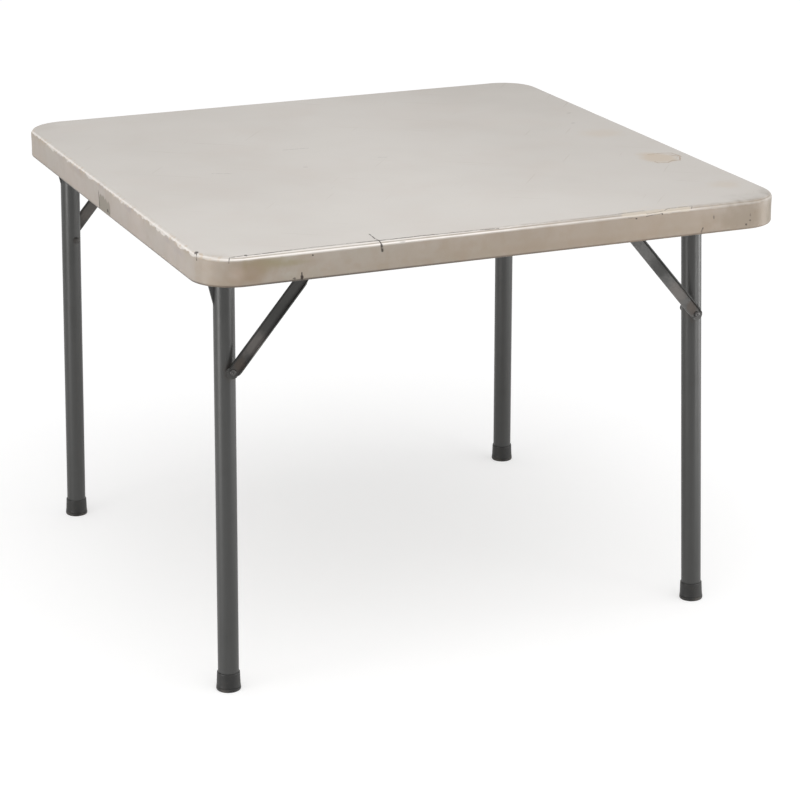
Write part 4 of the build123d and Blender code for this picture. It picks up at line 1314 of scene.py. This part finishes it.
def add_floor(stage):
    """A wide disc that shows white to the camera and keeps a share of the shadow. From below it
    is clear, so that the table's underside can be looked at."""
    angle = np.linspace(0, 2 * math.pi, FLOOR_STEPS, endpoint=False)
    rim = np.column_stack([np.cos(angle), np.sin(angle), np.zeros(FLOOR_STEPS)]) * FLOOR_RADIUS
    mesh = bpy.data.meshes.new("floor")
    mesh.from_pydata(rim.tolist(), [], [list(range(FLOOR_STEPS))])
    floor = bpy.data.objects.new("floor", mesh)
    bpy.context.scene.collection.objects.link(floor)
    material = bpy.data.materials.new("floor_white")
    material.use_nodes = True
    tree = material.node_tree
    tree.nodes.clear()
    seen = shows_white(tree)
    bright, dimmed = (rgba([FLOOR_PALENESS * share] * 3) for share in (1, stage.shadow_share))
    diffuse = put(tree, "ShaderNodeBsdfDiffuse", {
        "Color": blend_colour(tree, seen, bright, dimmed)})
    glow = put(tree, "ShaderNodeEmission", {
        "Color": WHITE, "Strength": calc(tree, "MULTIPLY", seen, stage.floor_glow)})
    both = put(tree, "ShaderNodeAddShader", {0: diffuse.outputs[0], 1: glow.outputs[0]})
    below = tree.nodes.new("ShaderNodeNewGeometry").outputs["Backfacing"]
    clear = put(tree, "ShaderNodeBsdfTransparent", {"Color": WHITE})
    mix = put(tree, "ShaderNodeMixShader", {0: below, 1: both.outputs[0], 2: clear.outputs[0]})
    put(tree, "ShaderNodeOutputMaterial", {"Surface": mix.outputs[0]})
    floor.data.materials.append(material)


def add_sky(stage):
    """Even light from all sides, which the camera and metal see as white."""
    world = bpy.data.worlds.new("studio")
    bpy.context.scene.world = world
    world.use_nodes = True
    tree = world.node_tree
    tree.nodes.clear()
    strength = calc(tree, "MULTIPLY_ADD", shows_white(tree), 1 - stage.sky, stage.sky)
    background = put(tree, "ShaderNodeBackground", {"Color": WHITE, "Strength": strength})
    put(tree, "ShaderNodeOutputWorld", {"Surface": background.outputs[0]})


def add_camera(stage):
    """The camera, looking to the right of +Y by the azimuth and down by the elevation."""
    camera = bpy.data.cameras.new("photo_camera")
    camera.sensor_width = SENSOR_WIDTH
    camera.sensor_fit = "HORIZONTAL"
    camera.lens = stage.lens
    camera.clip_end = VIEW_REACH
    eye = bpy.data.objects.new("photo_camera", camera)
    scene = bpy.context.scene
    scene.collection.objects.link(eye)
    az, el, roll = stage.azimuth, stage.elevation, stage.roll
    ahead = Vector((math.sin(az) * math.cos(el), math.cos(az) * math.cos(el), -math.sin(el)))
    right = Vector((math.cos(az), -math.sin(az), 0))
    up = right.cross(ahead)
    turned_right = right * math.cos(roll) + up * math.sin(roll)
    turned_up = up * math.cos(roll) - right * math.sin(roll)
    basis = Matrix((turned_right, turned_up, -ahead)).transposed().to_4x4()
    eye.matrix_world = Matrix.Translation(stage.camera_place) @ basis
    scene.camera = eye


class CARDTABLE_OT_stage(bpy.types.Operator):
    """Pale floor, soft light and the camera"""

    bl_idname = "card_table.stage"
    bl_label = "Stage"

    def execute(self, context):
        stage = context.scene.card_table_stage
        add_floor(stage)
        add_sky(stage)
        for name, kind, place, aim, strength, settings in LAMPS:
            add_light(name, kind, place, aim, getattr(stage, strength), settings)
        add_camera(stage)
        context.scene.view_settings.view_transform = "Standard"
        return {"FINISHED"}


class CARDTABLE_PT_panel(bpy.types.Panel):
    """Pieces of the card table"""

    bl_idname = "CARDTABLE_PT_panel"
    bl_label = "Card table"
    bl_space_type = "VIEW_3D"
    bl_region_type = "UI"
    bl_category = "Card table"

    def draw(self, context):
        for operator in operators:
            self.layout.operator(operator.bl_idname)
        for name in properties:
            values = getattr(context.scene, name)
            box = self.layout.box()
            for key in values.__annotations__:
                box.prop(values, key)


operators = (
    CARDTABLE_OT_moulded_top, CARDTABLE_OT_braces, CARDTABLE_OT_rivets, CARDTABLE_OT_feet,
    CARDTABLE_OT_welds, CARDTABLE_OT_screws, CARDTABLE_OT_finishes, CARDTABLE_OT_stage,
)
properties = {
    "card_table_top": CardTableTop, "card_table_steel": CardTableSteel,
    "card_table_colours": CardTableColours, "card_table_stage": CardTableStage,
}


def register():
    for kind in (*properties.values(), *operators, CARDTABLE_PT_panel):
        bpy.utils.register_class(kind)
    for name, kind in properties.items():
        setattr(bpy.types.Scene, name, bpy.props.PointerProperty(type=kind))


def unregister():
    for name in properties:
        delattr(bpy.types.Scene, name)
    for kind in reversed((*properties.values(), *operators, CARDTABLE_PT_panel)):
        bpy.utils.unregister_class(kind)


def main():
    """Builds the dressed table and its stage."""
    register()
    for operator in operators:
        getattr(bpy.ops.card_table, operator.bl_idname.split(".")[1])()


if __name__ == "__main__":
    main()
